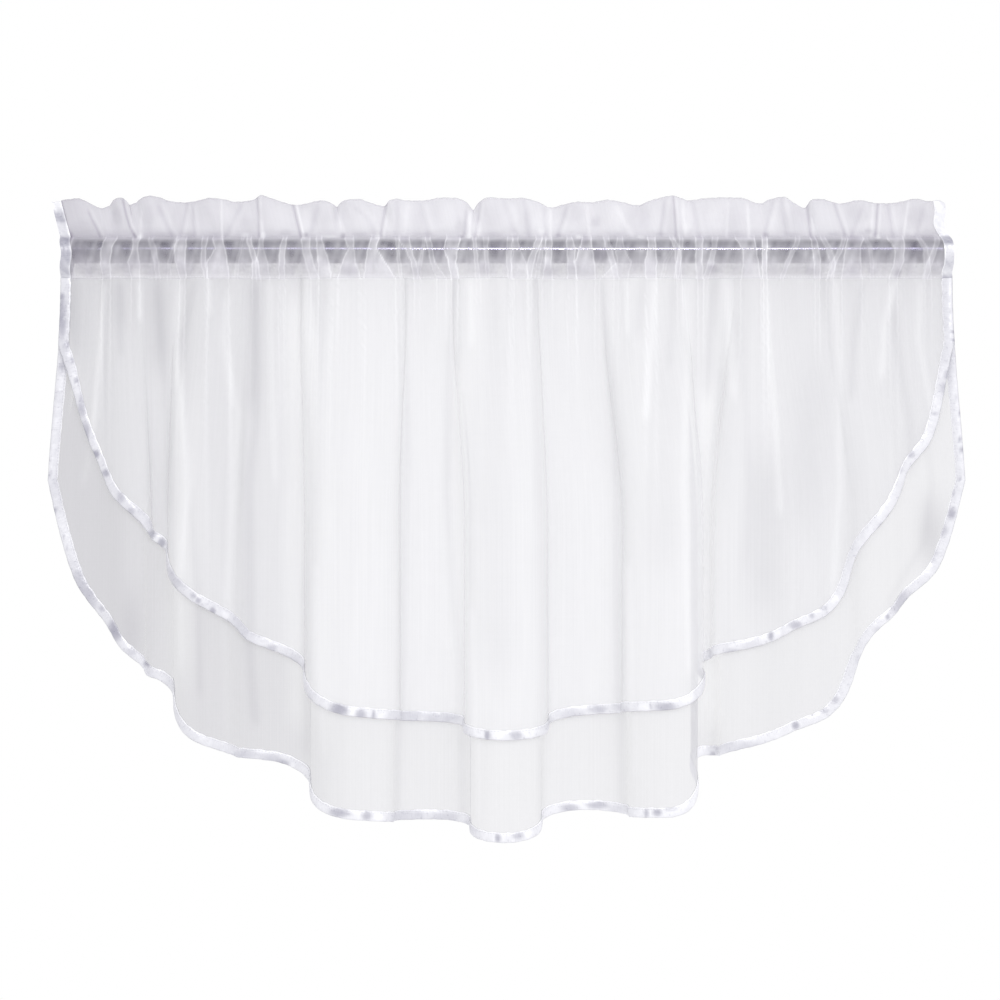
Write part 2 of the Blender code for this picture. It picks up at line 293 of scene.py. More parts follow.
@dataclass(frozen=True)
class Creases:
    """Creases placed one by one: each a soft line down the cloth.

    Each row is a breadth, a rise to the front, what the crease adds to cover, which is how much
    of the light the cloth stops, and to the colour share, which is painted shade in a dark crease
    and painted light on a pale ridge, and its track as x, level pairs. Lengths are in millimetres.
    A dark crease may have a painted highlight beside it.
    """

    rows: Sequence[tuple]
    fade: float = 4.5
    least_breadth: float = 2.0
    paired_painted_highlight: float = 0.0
    pair_away: float = 2.2
    strength: float = 1.0

    def add_up(self, x: np.ndarray, level: np.ndarray) -> np.ndarray:
        """Sums bells across the tracks, each fading out at both ends of its own track.

        Args:
            x: place along the rod.
            level: height above the rod's axis.

        Returns:
            Rise, cover and tone there.
        """
        total = np.zeros((3, *x.shape))
        for breadth, rise, cover, tone_and_painted_light, track in self.rows:
            levels = np.array(track[1::2], dtype=float)
            order = np.argsort(levels)
            centre = np.interp(level, levels[order], np.array(track[0::2], dtype=float)[order])
            length = self.fade * max(breadth, self.least_breadth)
            ends = smooth((level - levels.min()) / length + 0.5)
            ends = ends * smooth((levels.max() - level) / length + 0.5) * self.strength
            own = bell(x - centre, breadth) * ends
            for part, share in enumerate((rise, cover, tone_and_painted_light)):
                total[part] += share * own
            # A painted highlight beside each dark crease.
            pair = bell(x - centre - self.pair_away * breadth, breadth) * ends
            total[2] -= self.paired_painted_highlight * min(tone_and_painted_light, 0.0) * pair
        return total


@dataclass(frozen=True)
class PaintedShadeAndLight:
    """Dark and pale patches of crumpled cloth or ribbon, placed one by one.

    Each row is the middle's x and level, half the length and half the height in millimetres, and
    what the patch adds to how pale the cloth is: painted shade below 0, painted light above it.
    """

    rows: Table
    glint: float = 0.45
    glint_from: float = 0.3
    glint_reach: float = 2.8

    def add_up(self, x: np.ndarray, level: np.ndarray) -> np.ndarray:
        """Sums flat-topped bells: e to the minus fourth power of the distance in half sizes, each
        dark one of painted shade in a wider bell of painted glint.

        Args:
            x: place along the rod.
            level: height above the rod's axis.

        Returns:
            The tone to add there.
        """
        total = np.zeros(x.shape)
        for middle, height, long, high, tone_and_painted_light in self.rows:
            away = ((x - middle) / long) ** 2 + ((level - height) / high) ** 2
            # Each dark patch of painted shade sits in a wider bell of painted glint.
            pale = self.glint * max(-tone_and_painted_light - self.glint_from, 0.0)
            total += (tone_and_painted_light - pale) * bell(away, 1.0)
            total += pale * bell(away, self.glint_reach)
        return total


@dataclass(frozen=True)
class Pleats:
    """Pinched pleats over the rod, each a band between two edges.

    Each row is the left and right edge at each of the four levels, from the top level down, the
    band's weight, and how far it reaches below the seam, which is the lowest level.
    """

    levels: tuple = (-26.6, -11.4, 1.0, 10.5)
    rows: Table = (
        (-416, -412, -417, -413, -417, -412, -416, -410, 0.6, 0),
        (-381, -370, -384, -374, -385, -376, -384, -376, 0.9, 120),
        (-355, -348, -354, -350, -359, -348, -357, -349, 0.7, 40),
        (-340, -336, -337, -332, -334, -330, -334, -330, 0.5, 0),
        (-314, -311, -317, -314, -321, -318, -323, -320, 0.35, 0),
        (-313, -304, -315, -304, -314, -305, -311, -305, 0.85, 150),
        (-289, -284, -289, -285, -290, -286, -287, -284, 0.65, 60),
        (-279, -270, -276, -267, -284, -265, -285, -264, 0.9, 200),
        (-252, -250, -253, -251, -257, -254, -259, -256, 0.3, 0),
        (-247, -243, -244, -240, -241, -236, -243, -235, 0.8, 30),
        (-235, -231, -235, -231, -238, -227, -239, -226, 0.5, 0),
        (-213, -209, -215, -210, -216, -211, -217, -212, 0.75, 120),
        (-195, -187, -194, -187, -191, -184, -187, -179, 0.7, 40),
        (-181, -176, -180, -173, -179, -169, -179, -167, 0.8, 140),
        (-154, -146, -150, -145, -156, -144, -161, -139, 0.75, 60),
        (-129, -122, -132, -124, -134, -116, -136, -106, 0.9, 110),
        (-106, -102, -105, -103, -104, -101, -102, -100, 0.5, 160),
        (-103, -93, -97, -91, -91, -87, -89, -83, 0.75, 30),
        (-80, -78, -81, -79, -84, -81, -86, -83, 0.3, 0),
        (-78, -73, -75, -71, -73, -69, -67, -58, 0.65, 30),
        (-58, -45, -60, -47, -56, -49, -53, -46, 1.15, 60),
        (-33, -30, -32, -29, -31, -28, -30, -26, 0.55, 40),
        (-23, -18, -22, -19, -21, -18, -20, -17, 0.45, 0),
        (0, 5, -1, 4, -1, 3, 1, 5, 0.6, 120),
        (5, 10, 6, 11, 4, 17, 3, 20, 0.5, 80),
        (27, 33, 24, 29, 19, 25, 19, 22, 0.75, 40),
        (33, 37, 31, 34, 28, 32, 26, 29, 0.4, 20),
        (36, 42, 36, 42, 36, 41, 33, 43, 0.7, 30),
        (56, 61, 56, 64, 57, 63, 57, 66, 0.7, 60),
        (71, 79, 68, 80, 64, 82, 66, 84, 0.9, 60),
        (91, 96, 93, 98, 97, 102, 101, 106, 0.6, 60),
        (104, 109, 102, 110, 104, 117, 88, 114, 0.55, 50),
        (133, 140, 133, 140, 130, 141, 131, 141, 0.9, 160),
        (154, 158, 158, 163, 159, 164, 160, 165, 0.65, 40),
        (163, 166, 162, 165, 160, 164, 158, 162, 0.5, 0),
        (157, 159, 155, 157, 148, 151, 145, 148, 0.3, 0),
        (178, 185, 178, 184, 178, 184, 180, 186, 0.85, 60),
        (194, 199, 193, 197, 190, 195, 186, 191, 0.5, 30),
        (216, 234, 222, 235, 223, 237, 222, 240, 0.75, 90),
        (241, 246, 241, 245, 241, 245, 242, 246, 1.0, 150),
        (273, 277, 269, 273, 263, 267, 259, 262, 0.5, 0),
        (287, 292, 288, 294, 290, 296, 292, 297, 0.8, 60),
        (297, 301, 301, 306, 305, 310, 304, 309, 0.55, 50),
        (317, 320, 313, 317, 307, 311, 303, 307, 0.5, 0),
        (322, 337, 319, 333, 318, 334, 317, 336, 0.8, 70),
        (338, 341, 341, 344, 343, 346, 344, 347, 0.3, 0),
        (360, 375, 366, 375, 366, 374, 362, 370, 0.8, 120),
        (388, 392, 393, 397, 394, 399, 396, 403, 0.55, 50),
        (405, 409, 402, 406, 397, 402, 394, 399, 0.5, 0))
    rise: float = 1.0
    fill_cover: float = 0.32
    edge_cover: float = 0.36
    edge_painted_highlight: float = 0.34
    edge_breadth: float = 0.6
    edge_widening: float = 0.02
    soft: float = 2.4
    halo: float = 9.0
    halo_start: float = 0.6
    halo_cover: float = 0.14
    most_cover: float = 0.6
    top_fade: float = 5.0
    seam_blend: float = 3.0
    below_fill: float = 0.12
    below_edge: float = 0.28
    least_reach: float = 3.0
    left_waver: Wave = Wave(0.45, 11.0, 61, 40.0)
    right_waver: Wave = Wave(0.45, 14.0, 62, 40.0)

    def add_up(self, x: np.ndarray, level: np.ndarray) -> np.ndarray:
        """Sums the bands: full between soft edges, with a painted highlight along each edge.

        Args:
            x: place along the rod.
            level: height above the rod's axis.

        Returns:
            Rise, cover and tone there.
        """
        total = np.zeros((3, *x.shape))
        above = 1.0 - smooth((level - self.levels[-1]) / self.top_fade)
        drop = np.maximum(self.levels[0] - level, 0.0)
        below = smooth(drop / self.seam_blend + 0.5)
        fill_share = 1.0 - (1.0 - self.below_fill) * below
        edge_share = 1.0 - (1.0 - self.below_edge) * below
        breadth = self.edge_breadth * (1.0 + self.edge_widening * drop)
        for place, row in enumerate(self.rows):
            weight, reach = row[8:]
            left = np.interp(level, self.levels, row[6::-2]) + self.left_waver.at(level, place)
            right = np.interp(level, self.levels, row[7::-2]) + self.right_waver.at(level, place)
            fade = bell(drop, max(reach, self.least_reach)) * above * weight
            fill = smooth((x - left) / self.soft + 0.5) * smooth((right - x) / self.soft + 0.5)
            near = smooth((x - left) / self.halo + self.halo_start)
            near = near * smooth((right - x) / self.halo + self.halo_start)
            filled = fill * fade * fill_share
            edged = (bell(x - left, breadth) + bell(x - right, breadth)) * fade * edge_share
            total[0] += self.rise * filled
            total[1] += self.fill_cover * filled + self.edge_cover * edged
            total[1] += self.halo_cover * near * fade * fill_share
            # Painted highlight along the pleats' edges.
            total[2] += self.edge_painted_highlight * edged
        total[1] = np.minimum(total[1], self.most_cover)
        return total


# The fourth number of each row is painted shade below 0 and painted light above it.
LONG_CREASES = Creases((
    (4.0, 0.6, 0.04, -0.10, (-99, -28, -100, -85, -97, -156, -98, -222, -100, -327, -104, -540)),
    (4.0, 0.6, 0.04, -0.10, (-49, -28, -54, -85, -57, -222, -51, -327, -46, -380, -44, -545)),
    (4.0, 0.6, 0.04, -0.09, (25, -28, 27, -156, 29, -222, 33, -327, 34, -550)),
    (4.0, 0.6, 0.04, -0.10, (90, -28, 103, -156, 105, -222, 105, -327, 108, -530)),
    (5.0, 0.6, 0.04, -0.12, (-240, -28, -240, -156, -247, -222, -245, -380, -240, -450)),
    (4.0, 0.4, 0.03, -0.10, (198, -28, 193, -85, 190, -140)),
    (5.0, 0.4, 0.03, -0.05, (220, -60, 227, -156, 229, -222, 226, -300)),
    (4.0, 0.4, 0.03, -0.08, (-184, -28, -176, -85, -178, -222, -193, -327, -193, -480)),
    (4.0, 0.4, 0.03, -0.08, (-295, -28, -306, -85, -300, -222, -292, -327, -290, -420)),
    (5.0, 0.4, 0.03, -0.10, (-333, -28, -322, -156, -318, -250)),
    (4.0, 0.4, 0.03, -0.10, (-369, -28, -367, -100)),
    (4.0, 0.4, 0.03, -0.09, (156, -28, 154, -110)),
    (4.0, 0.4, 0.03, -0.09, (127, -28, 124, -80)),
    (4.0, 0.4, 0.03, -0.09, (337, -28, 329, -85, 326, -140)),
    (5.0, 0.4, 0.03, -0.09, (366, -50, 369, -85, 381, -156, 386, -210)),
    (5.0, 0.4, 0.02, -0.08, (398, -170, 405, -222, 396, -280, 366, -327, 350, -400)),
    (4.0, 0.9, 0.06, 0.16, (-382, -28, -386, -85, -392, -156, -404, -222)),
    (3.0, 0.6, 0.05, 0.14, (-350, -28, -349, -66)),
    (4.0, 0.9, 0.05, 0.12, (-311, -28, -315, -85, -307, -156, -301, -222, -312, -325, -311, -400)),
    (3.0, 0.6, 0.05, 0.10, (-283, -28, -282, -60)),
    (5.0, 0.9, 0.05, 0.10, (-266, -40, -269, -85, -258, -156, -266, -327, -262, -470)),
    (4.0, 0.6, 0.04, 0.09, (-226, -28, -224, -156, -222, -220)),
    (3.0, 0.6, 0.04, 0.08, (-35, -28, -34, -90)),
    (3.0, 0.6, 0.04, 0.10, (113, -28, 114, -80)),
    (4.0, 0.9, 0.05, 0.12, (140, -28, 136, -85, 130, -160)),
    (4.0, 0.9, 0.04, 0.08, (166, -28, 170, -85, 165, -222, 170, -400)),
    (4.0, 0.6, 0.04, 0.09, (208, -28, 212, -85, 215, -140)),
    (4.0, 0.9, 0.05, 0.12, (245, -28, 247, -85, 253, -156, 258, -250)),
    (4.0, 0.6, 0.04, 0.09, (312, -28, 313, -85, 316, -222, 309, -327)),
    (4.0, 0.9, 0.05, 0.14, (367, -28, 358, -70, 355, -120)),
    (4.0, 0.6, 0.04, 0.10, (393, -28, 390, -85, 405, -156)),
    (14.0, 0.0, 0.02, -0.24, (-415, -20, -415, -100)),
    (12.0, 0.0, 0.00, -0.16, (-333, -28, -333, -110)),
    (9.0, 0.0, 0.00, -0.10, (-371, -28, -368, -70)),
    (16.0, 0.0, -0.02, 0.14, (-312, -120, -308, -200, -310, -400)),
    (8.0, 0.0, 0.00, -0.11, (-240, -28, -240, -110, -244, -150)),
    (10.0, 0.0, -0.06, 0.12, (-202, -40, -202, -450)),
    (14.0, 0.0, -0.02, 0.08, (-180, -60, -175, -450)),
    (16.0, 0.0, 0.00, -0.07, (-15, -40, -10, -400)),
    (45.0, 0.0, 0.00, -0.07, (110, -28, 110, -120)),
    (18.0, 0.0, 0.00, -0.10, (288, -110, 285, -260)),
    (18.0, 0.0, 0.00, -0.14, (245, -190, 242, -340)),
    (18.0, 0.0, 0.00, -0.07, (145, -100, 145, -300)),
    (10.0, 0.0, -0.12, 0.14, (190, -130, 192, -450)),
    (8.0, 0.0, -0.08, 0.06, (-47, -110, -47, -450)),
    (14.0, 0.0, 0.02, -0.15, (-356, -330, -356, -400)),
    (13.0, 0.0, 0.04, -0.34, (405, -240, 405, -300)),
    (4.0, 0.6, 0.04, 0.07, (-180, -300, -179, -390, -176, -480)),
    (4.0, 0.6, 0.04, 0.06, (115, -300, 118, -500)),
    (4.0, 0.6, 0.04, 0.06, (-33, -340, -30, -540))))

# The fourth number of each row is painted shade below 0 and painted light above it.
RUFFLE_CREASES = Creases((
    (1.6, -0.8, 0.10, -0.35, (-386, 12, -398, 38)),
    (1.3, -1.2, 0.15, -0.55, (-353, 12, -359, 24, -365, 49)),
    (1.5, 0.4, 0.05, 0.18, (-349, 12, -347, 40)),
    (2.4, -0.6, 0.08, -0.25, (-318, 12, -332, 44)),
    (1.8, -0.5, 0.08, -0.22, (-311, 12, -304, 48)),
    (1.8, -0.5, 0.08, -0.20, (-297, 12, -300, 44)),
    (1.2, 0.6, 0.10, 0.30, (-271, 12, -271, 48)),
    (2.2, -0.6, 0.08, -0.22, (-268, 12, -253, 44)),
    (1.3, -0.9, 0.12, -0.34, (-236, 12, -238, 52)),
    (1.5, 0.4, 0.05, 0.18, (-232, 12, -234, 48)),
    (1.4, -1.1, 0.15, -0.48, (-196, 12, -205, 49)),
    (1.4, 0.5, 0.05, 0.22, (-193, 12, -201, 46)),
    (3.0, -0.5, 0.05, -0.18, (-188, 14, -180, 44)),
    (2.0, -0.6, 0.08, -0.22, (-163, 20, -163, 43)),
    (3.0, -0.5, 0.05, -0.18, (-125, 14, -134, 32, -150, 44)),
    (1.5, -1.0, 0.12, -0.44, (-121, 12, -115, 48)),
    (3.0, -0.5, 0.05, -0.18, (-107, 12, -104, 48)),
    (2.5, 0.5, 0.05, 0.14, (-98, 12, -94, 46)),
    (3.0, -0.5, 0.05, -0.18, (-75, 12, -83, 46)),
    (1.5, -0.9, 0.12, -0.36, (-41, 14, -39, 38)),
    (1.5, -0.9, 0.12, -0.36, (-31, 12, -26, 46)),
    (1.8, 0.8, 0.12, 0.30, (-36, 12, -35, 38)),
    (3.0, -0.5, 0.05, -0.16, (7, 12, -4, 48)),
    (2.4, -0.5, 0.06, -0.22, (21, 12, 15, 48)),
    (1.8, -0.5, 0.06, -0.18, (36, 12, 35, 42)),
    (1.6, 0.5, 0.06, 0.20, (41, 12, 41, 40)),
    (2.0, -0.7, 0.08, -0.28, (47, 12, 56, 42)),
    (2.0, 0.5, 0.05, 0.18, (78, 12, 75, 44)),
    (3.0, 0.5, 0.05, 0.14, (119, 12, 102, 44)),
    (2.0, -0.7, 0.08, -0.28, (145, 14, 149, 48)),
    (1.3, -1.0, 0.14, -0.44, (160, 12, 157, 52)),
    (1.8, 0.5, 0.05, 0.20, (169, 14, 166, 48)),
    (2.5, -0.5, 0.05, -0.18, (182, 12, 175, 48)),
    (1.6, 0.5, 0.06, 0.16, (208, 12, 209, 46)),
    (1.8, 0.6, 0.08, 0.28, (229, 12, 228, 44)),
    (2.0, -0.6, 0.08, -0.25, (243, 12, 252, 48)),
    (2.4, -0.5, 0.06, -0.22, (264, 16, 259, 50)),
    (1.4, -1.1, 0.14, -0.46, (288, 12, 284, 46)),
    (1.8, -0.7, 0.10, -0.34, (321, 12, 310, 46)),
    (2.0, -0.5, 0.06, -0.18, (325, 12, 337, 42)),
    (1.3, -1.1, 0.14, -0.50, (349, 12, 352, 47)),
    (1.5, 0.5, 0.05, 0.22, (345, 12, 347, 44)),
    (2.0, -0.5, 0.08, -0.24, (366, 12, 361, 45)),
    (1.5, 0.7, 0.10, 0.34, (376, 12, 380, 46)),
    (2.2, -0.5, 0.05, -0.16, (387, 12, 394, 40))), fade=3.6, paired_painted_highlight=0.4, strength=0.72)


class Socket:
    """A shader value whose operators add Math nodes."""

    def __init__(self, graph: "Graph", link: bpy.types.NodeSocket) -> None:
        """Keeps the graph and the output that carries the value."""
        self.graph = graph
        self.link = link

    def _math(self, kind: str, first: object, second: object = 0.0) -> "Socket":
        """One Math node of a kind on two values."""
        return self.graph.node("ShaderNodeMath", {"operation": kind}, {0: first, 1: second})

    def __add__(self, other: object) -> "Socket":
        """Sum."""
        return self._math("ADD", self, other)

    __radd__ = __add__

    def __sub__(self, other: object) -> "Socket":
        """Difference."""
        return self._math("SUBTRACT", self, other)

    def __rsub__(self, other: object) -> "Socket":
        """Difference the other way round."""
        return self._math("SUBTRACT", other, self)

    def __mul__(self, other: object) -> "Socket":
        """Product."""
        return self._math("MULTIPLY", self, other)

    __rmul__ = __mul__

    def __truediv__(self, other: object) -> "Socket":
        """Quotient."""
        return self._math("DIVIDE", self, other)

    def sine(self) -> "Socket":
        """Sine."""
        return self._math("SINE", self)

    def clamp(self, low: float = 0.0, high: float = 1.0) -> "Socket":
        """Kept between two numbers."""
        return self._math("MINIMUM", self._math("MAXIMUM", self, low), high)


class Graph:
    """The node tree of a material or a world and the ways to add to it."""

    def __init__(
        self, owner: Union[bpy.types.Material, bpy.types.World], shader: str = "Principled BSDF"
    ) -> None:
        """Starts with the owner's one shader.

        Args:
            owner: the new material or world.
            shader: the name of its shader's node.
        """
        owner.use_nodes = True
        self.owner = owner
        self.tree = owner.node_tree
        self.shader = self.tree.nodes[shader]

    def node(self, kind: str, settings: dict, inputs: dict, out: Union[int, str] = 0) -> Socket:
        """Adds any node.

        Args:
            kind: the node's type.
            settings: attributes that are set first.
            inputs: the values or sockets of its inputs, by place or name.
            out: the output to carry on.

        Returns:
            That output.
        """
        item = self.tree.nodes.new(kind)
        for name, value in settings.items():
            setattr(item, name, value)
        for name, value in inputs.items():
            self.feed(item.inputs[name], value)
        return Socket(self, item.outputs[out])

    def feed(self, target: bpy.types.NodeSocket, value: object) -> None:
        """Links a socket or sets a number on an input.

        Args:
            target: the input.
            value: what it gets.
        """
        if isinstance(value, Socket):
            self.tree.links.new(value.link, target)
        else:
            target.default_value = value

    def attribute(self, name: str) -> Socket:
        """A number that the mesh carries."""
        return self.node("ShaderNodeAttribute", {"attribute_name": name}, {}, "Fac")

    def uv(self) -> Socket:
        """The piece's own UV map, in metres along the cloth."""
        return self.node("ShaderNodeUVMap", {"uv_map": "cloth"}, {}, "UV")

    def object_place(self) -> Socket:
        """Object coordinates."""
        return self.node("ShaderNodeTexCoord", {}, {}, "Object")

    def part(self, place: Socket, axis: str) -> Socket:
        """One part of a vector: X, Y or Z."""
        return self.node("ShaderNodeSeparateXYZ", {}, {0: place}, axis)

    def stretched(self, place: Socket, scale: Triple) -> Socket:
        """A place stretched along its axes."""
        return self.node("ShaderNodeVectorMath", {"operation": "MULTIPLY"}, {0: place, 1: scale})

    def noise(self, place: Socket, scale: Triple, detail: float) -> Socket:
        """Noise from 0 to 1 at a place, with its own scale along each axis."""
        inputs = {"Vector": self.stretched(place, scale), "Scale": 1.0, "Detail": detail}
        return self.node("ShaderNodeTexNoise", {}, inputs, "Fac")

    def mix(self, share: object, low: Triple, high: Triple) -> Socket:
        """A mix of two colours."""
        inputs = {0: share, 6: (*low, 1.0), 7: (*high, 1.0)}
        return self.node("ShaderNodeMix", {"data_type": "RGBA"}, inputs, 2)

    def bump(self, height: Socket, strength: float, distance: float) -> Socket:
        """A normal bent by a height."""
        inputs = {"Height": height, "Strength": strength, "Distance": distance}
        return self.node("ShaderNodeBump", {}, inputs, "Normal")

    def finish(self, **inputs: object) -> Union[bpy.types.Material, bpy.types.World]:
        """Sets the shader's inputs and gives the owner.

        Args:
            inputs: values or sockets by the input's name, with _ for spaces.

        Returns:
            The material or world.
        """
        for name, value in inputs.items():
            self.feed(self.shader.inputs[name.replace("_", " ")], value)
        return self.owner


@dataclass(frozen=True)
class VoileFinish:
    """Sheer plain-weave voile: what it stops and how pale it is come from the mesh, whose cover and
    colour share carry the creases and the painted shade and painted light.

    The pitch of its threads is in millimetres, and the scales count waves to the metre.
    """

    name: str
    shade: Triple = (0.305, 0.295, 0.34)
    light: Triple = (0.94, 0.94, 0.95)
    warp_scale: Triple = (900.0, 5.0, 1.0)
    weft_scale: Triple = (14.0, 1300.0, 1.0)
    weft_share: float = 0.35
    cloud_scale: Triple = (60.0, 9.0, 1.0)
    thread_pitch: float = 0.6
    slub_cover: float = 0.03
    slub_tone: float = 0.05
    weave_cover: float = 0.02
    cloud_tone: float = 0.07
    most_cover: float = 0.97

    def material(self) -> bpy.types.Material:
        """Builds the finish.

        Returns:
            A see-through cloth whose alpha comes from the mesh's cover and the weave.
        """
        graph = Graph(bpy.data.materials.new(self.name))
        place = graph.uv()
        warp = graph.noise(place, self.warp_scale, 1.0) - 0.5
        weft = graph.noise(place, self.weft_scale, 1.0) - 0.5
        cloud = graph.noise(place, self.cloud_scale, 2.0) - 0.5
        threads = TURN / (self.thread_pitch * MM)
        weave = (graph.part(place, "X") * threads).sine() * (graph.part(place, "Y") * threads).sine()
        slubs = warp + self.weft_share * weft
        alpha = graph.attribute("cover") + self.slub_cover * slubs + self.weave_cover * weave
        # The mesh's colour share brings painted shade and painted light; slubs and clouds are the
        # cloth's own.
        tone_and_painted_light = graph.attribute("tone_and_painted_light") + self.slub_tone * slubs + self.cloud_tone * cloud
        return graph.finish(
            Base_Color=graph.mix(tone_and_painted_light.clamp(), self.shade, self.light),
            Alpha=alpha.clamp(high=self.most_cover),
            Normal=graph.bump(weave + slubs, strength=0.2, distance=0.0001),
            Roughness=0.8, Specular_IOR_Level=0.15)


@dataclass(frozen=True)
class SatinFinish:
    """Crumpled satin ribbon: fine cross ribs and soft gloss, with painted lavender shade in its
    hollows, creases and specks and painted light on its crests.
    """

    name: str = "satin"
    painted_hollow_shade: Triple = (0.33, 0.325, 0.40)
    painted_crest_light: Triple = (0.93, 0.93, 0.955)
    rib_scale: Triple = (2400.0, 60.0, 1.0)
    rib_tone: float = 0.10
    crease_scale: Triple = (170.0, 150.0, 1.0)
    crease_painted_shade: float = 0.17
    speck_scale: Triple = (330.0, 260.0, 1.0)
    speck_from: float = 0.62
    speck_edge: float = 7.0
    speck_painted_shade: float = 0.2
    rib_bump: float = 0.1
    roughness: float = 0.3
    rib_roughness: float = 0.2

    def material(self) -> bpy.types.Material:
        """Builds the finish.

        Returns:
            An opaque satin whose colour carries the painted shade and painted light of the mesh's
            crumple.
        """
        graph = Graph(bpy.data.materials.new(self.name))
        place = graph.uv()
        ribs = graph.noise(place, self.rib_scale, 1.0) - 0.5
        creases = graph.noise(place, self.crease_scale, 2.0) - 0.5
        specks = graph.noise(place, self.speck_scale, 1.0) - self.speck_from
        # Painted shade and painted light: the mesh's share, shifted by the noise's creases, with dark
        # specks of painted shade.
        share = graph.attribute("tone_and_painted_light") + self.crease_painted_shade * creases + self.rib_tone * ribs
        share = (share - self.speck_painted_shade * (specks * self.speck_edge).clamp()).clamp()
        return graph.finish(
            Base_Color=graph.mix(share, self.painted_hollow_shade, self.painted_crest_light),
            Roughness=(self.roughness + self.rib_roughness * ribs).clamp(0.1, 0.9),
            Normal=graph.bump(ribs * self.rib_bump + creases, strength=0.6, distance=0.001),
            Specular_IOR_Level=0.5)


@dataclass(frozen=True)
class MetalFinish:
    """Satin grey rod: fine drawn lines along it over a brushed metal, with a painted reflection, darker
    and bluish on top and paler underneath.
    """

    name: str = "rod_metal"
    # dark holds the painted bluish reflection on top and light the paler painted reflection underneath;
    # the lines and marks also mix between them.
    dark: Triple = (0.085, 0.082, 0.150)
    light: Triple = (0.150, 0.138, 0.165)
    line_scale: Triple = (6.0, 900.0, 900.0)
    line_tone: float = 0.6
    mark_scale: Triple = (40.0, 120.0, 120.0)
    mark_tone: float = 0.4
    height_painted_reflection: float = 30.0
    roughness: float = 0.125
    line_roughness: float = 0.02

    def material(self) -> bpy.types.Material:
        """Builds the finish.

        Returns:
            A satin metal.
        """
        graph = Graph(bpy.data.materials.new(self.name))
        place = graph.object_place()
        lines = graph.noise(place, self.line_scale, 2.0)
        marks = graph.noise(place, self.mark_scale, 3.0) - 0.5
        height = graph.part(place, "Z")
        share = 0.5 + self.line_tone * (lines - 0.5) + self.mark_tone * marks
        # Painted reflection: darker and bluish towards the top, paler towards the bottom.
        share = (share - self.height_painted_reflection * height).clamp()
        return graph.finish(
            Base_Color=graph.mix(share, self.dark, self.light), Metallic=0.95,
            Roughness=(self.roughness + self.line_roughness * (lines - 0.5)).clamp(0.1, 0.5),
            Normal=graph.bump(lines, strength=0.01, distance=0.00001))


@dataclass(frozen=True)
class ThreadFinish:
    """Pale twisted sewing thread."""

    name: str = "thread"
    dark: Triple = (0.52, 0.51, 0.57)
    light: Triple = (0.68, 0.67, 0.72)
    twist_scale: Triple = (2600.0, 900.0, 900.0)

    def material(self) -> bpy.types.Material:
        """Builds the finish.

        Returns:
            A soft matt thread.
        """
        graph = Graph(bpy.data.materials.new(self.name))
        twist = graph.noise(graph.object_place(), self.twist_scale, 1.0)
        return graph.finish(
            Base_Color=graph.mix(twist, self.dark, self.light), Roughness=0.7,
            Normal=graph.bump(twist, strength=0.4, distance=0.0001))


@dataclass(frozen=True)
class FloorFinish:
    """Plain pale floor that fades out to its rim."""

    name: str = "floor_pale"
    dark: Triple = (0.86, 0.86, 0.87)
    light: Triple = (0.9, 0.9, 0.91)
    grain_scale: Triple = (60.0, 60.0, 60.0)
    radius: float = 1.0
    fade_share: float = 0.5

    def material(self) -> bpy.types.Material:
        """Builds the finish.

        Returns:
            A matt floor whose alpha falls to nothing at the rim.
        """
        graph = Graph(bpy.data.materials.new(self.name))
        place = graph.object_place()
        level = graph.stretched(place, (1.0, 1.0, 0.0))
        away = graph.node("ShaderNodeVectorMath", {"operation": "LENGTH"}, {0: level}, "Value")
        grain = graph.noise(place, self.grain_scale, 2.0)
        fade = ((self.radius - away) / (self.fade_share * self.radius)).clamp()
        return graph.finish(
            Base_Color=graph.mix(grain, self.dark, self.light), Roughness=0.8, Alpha=fade * fade)


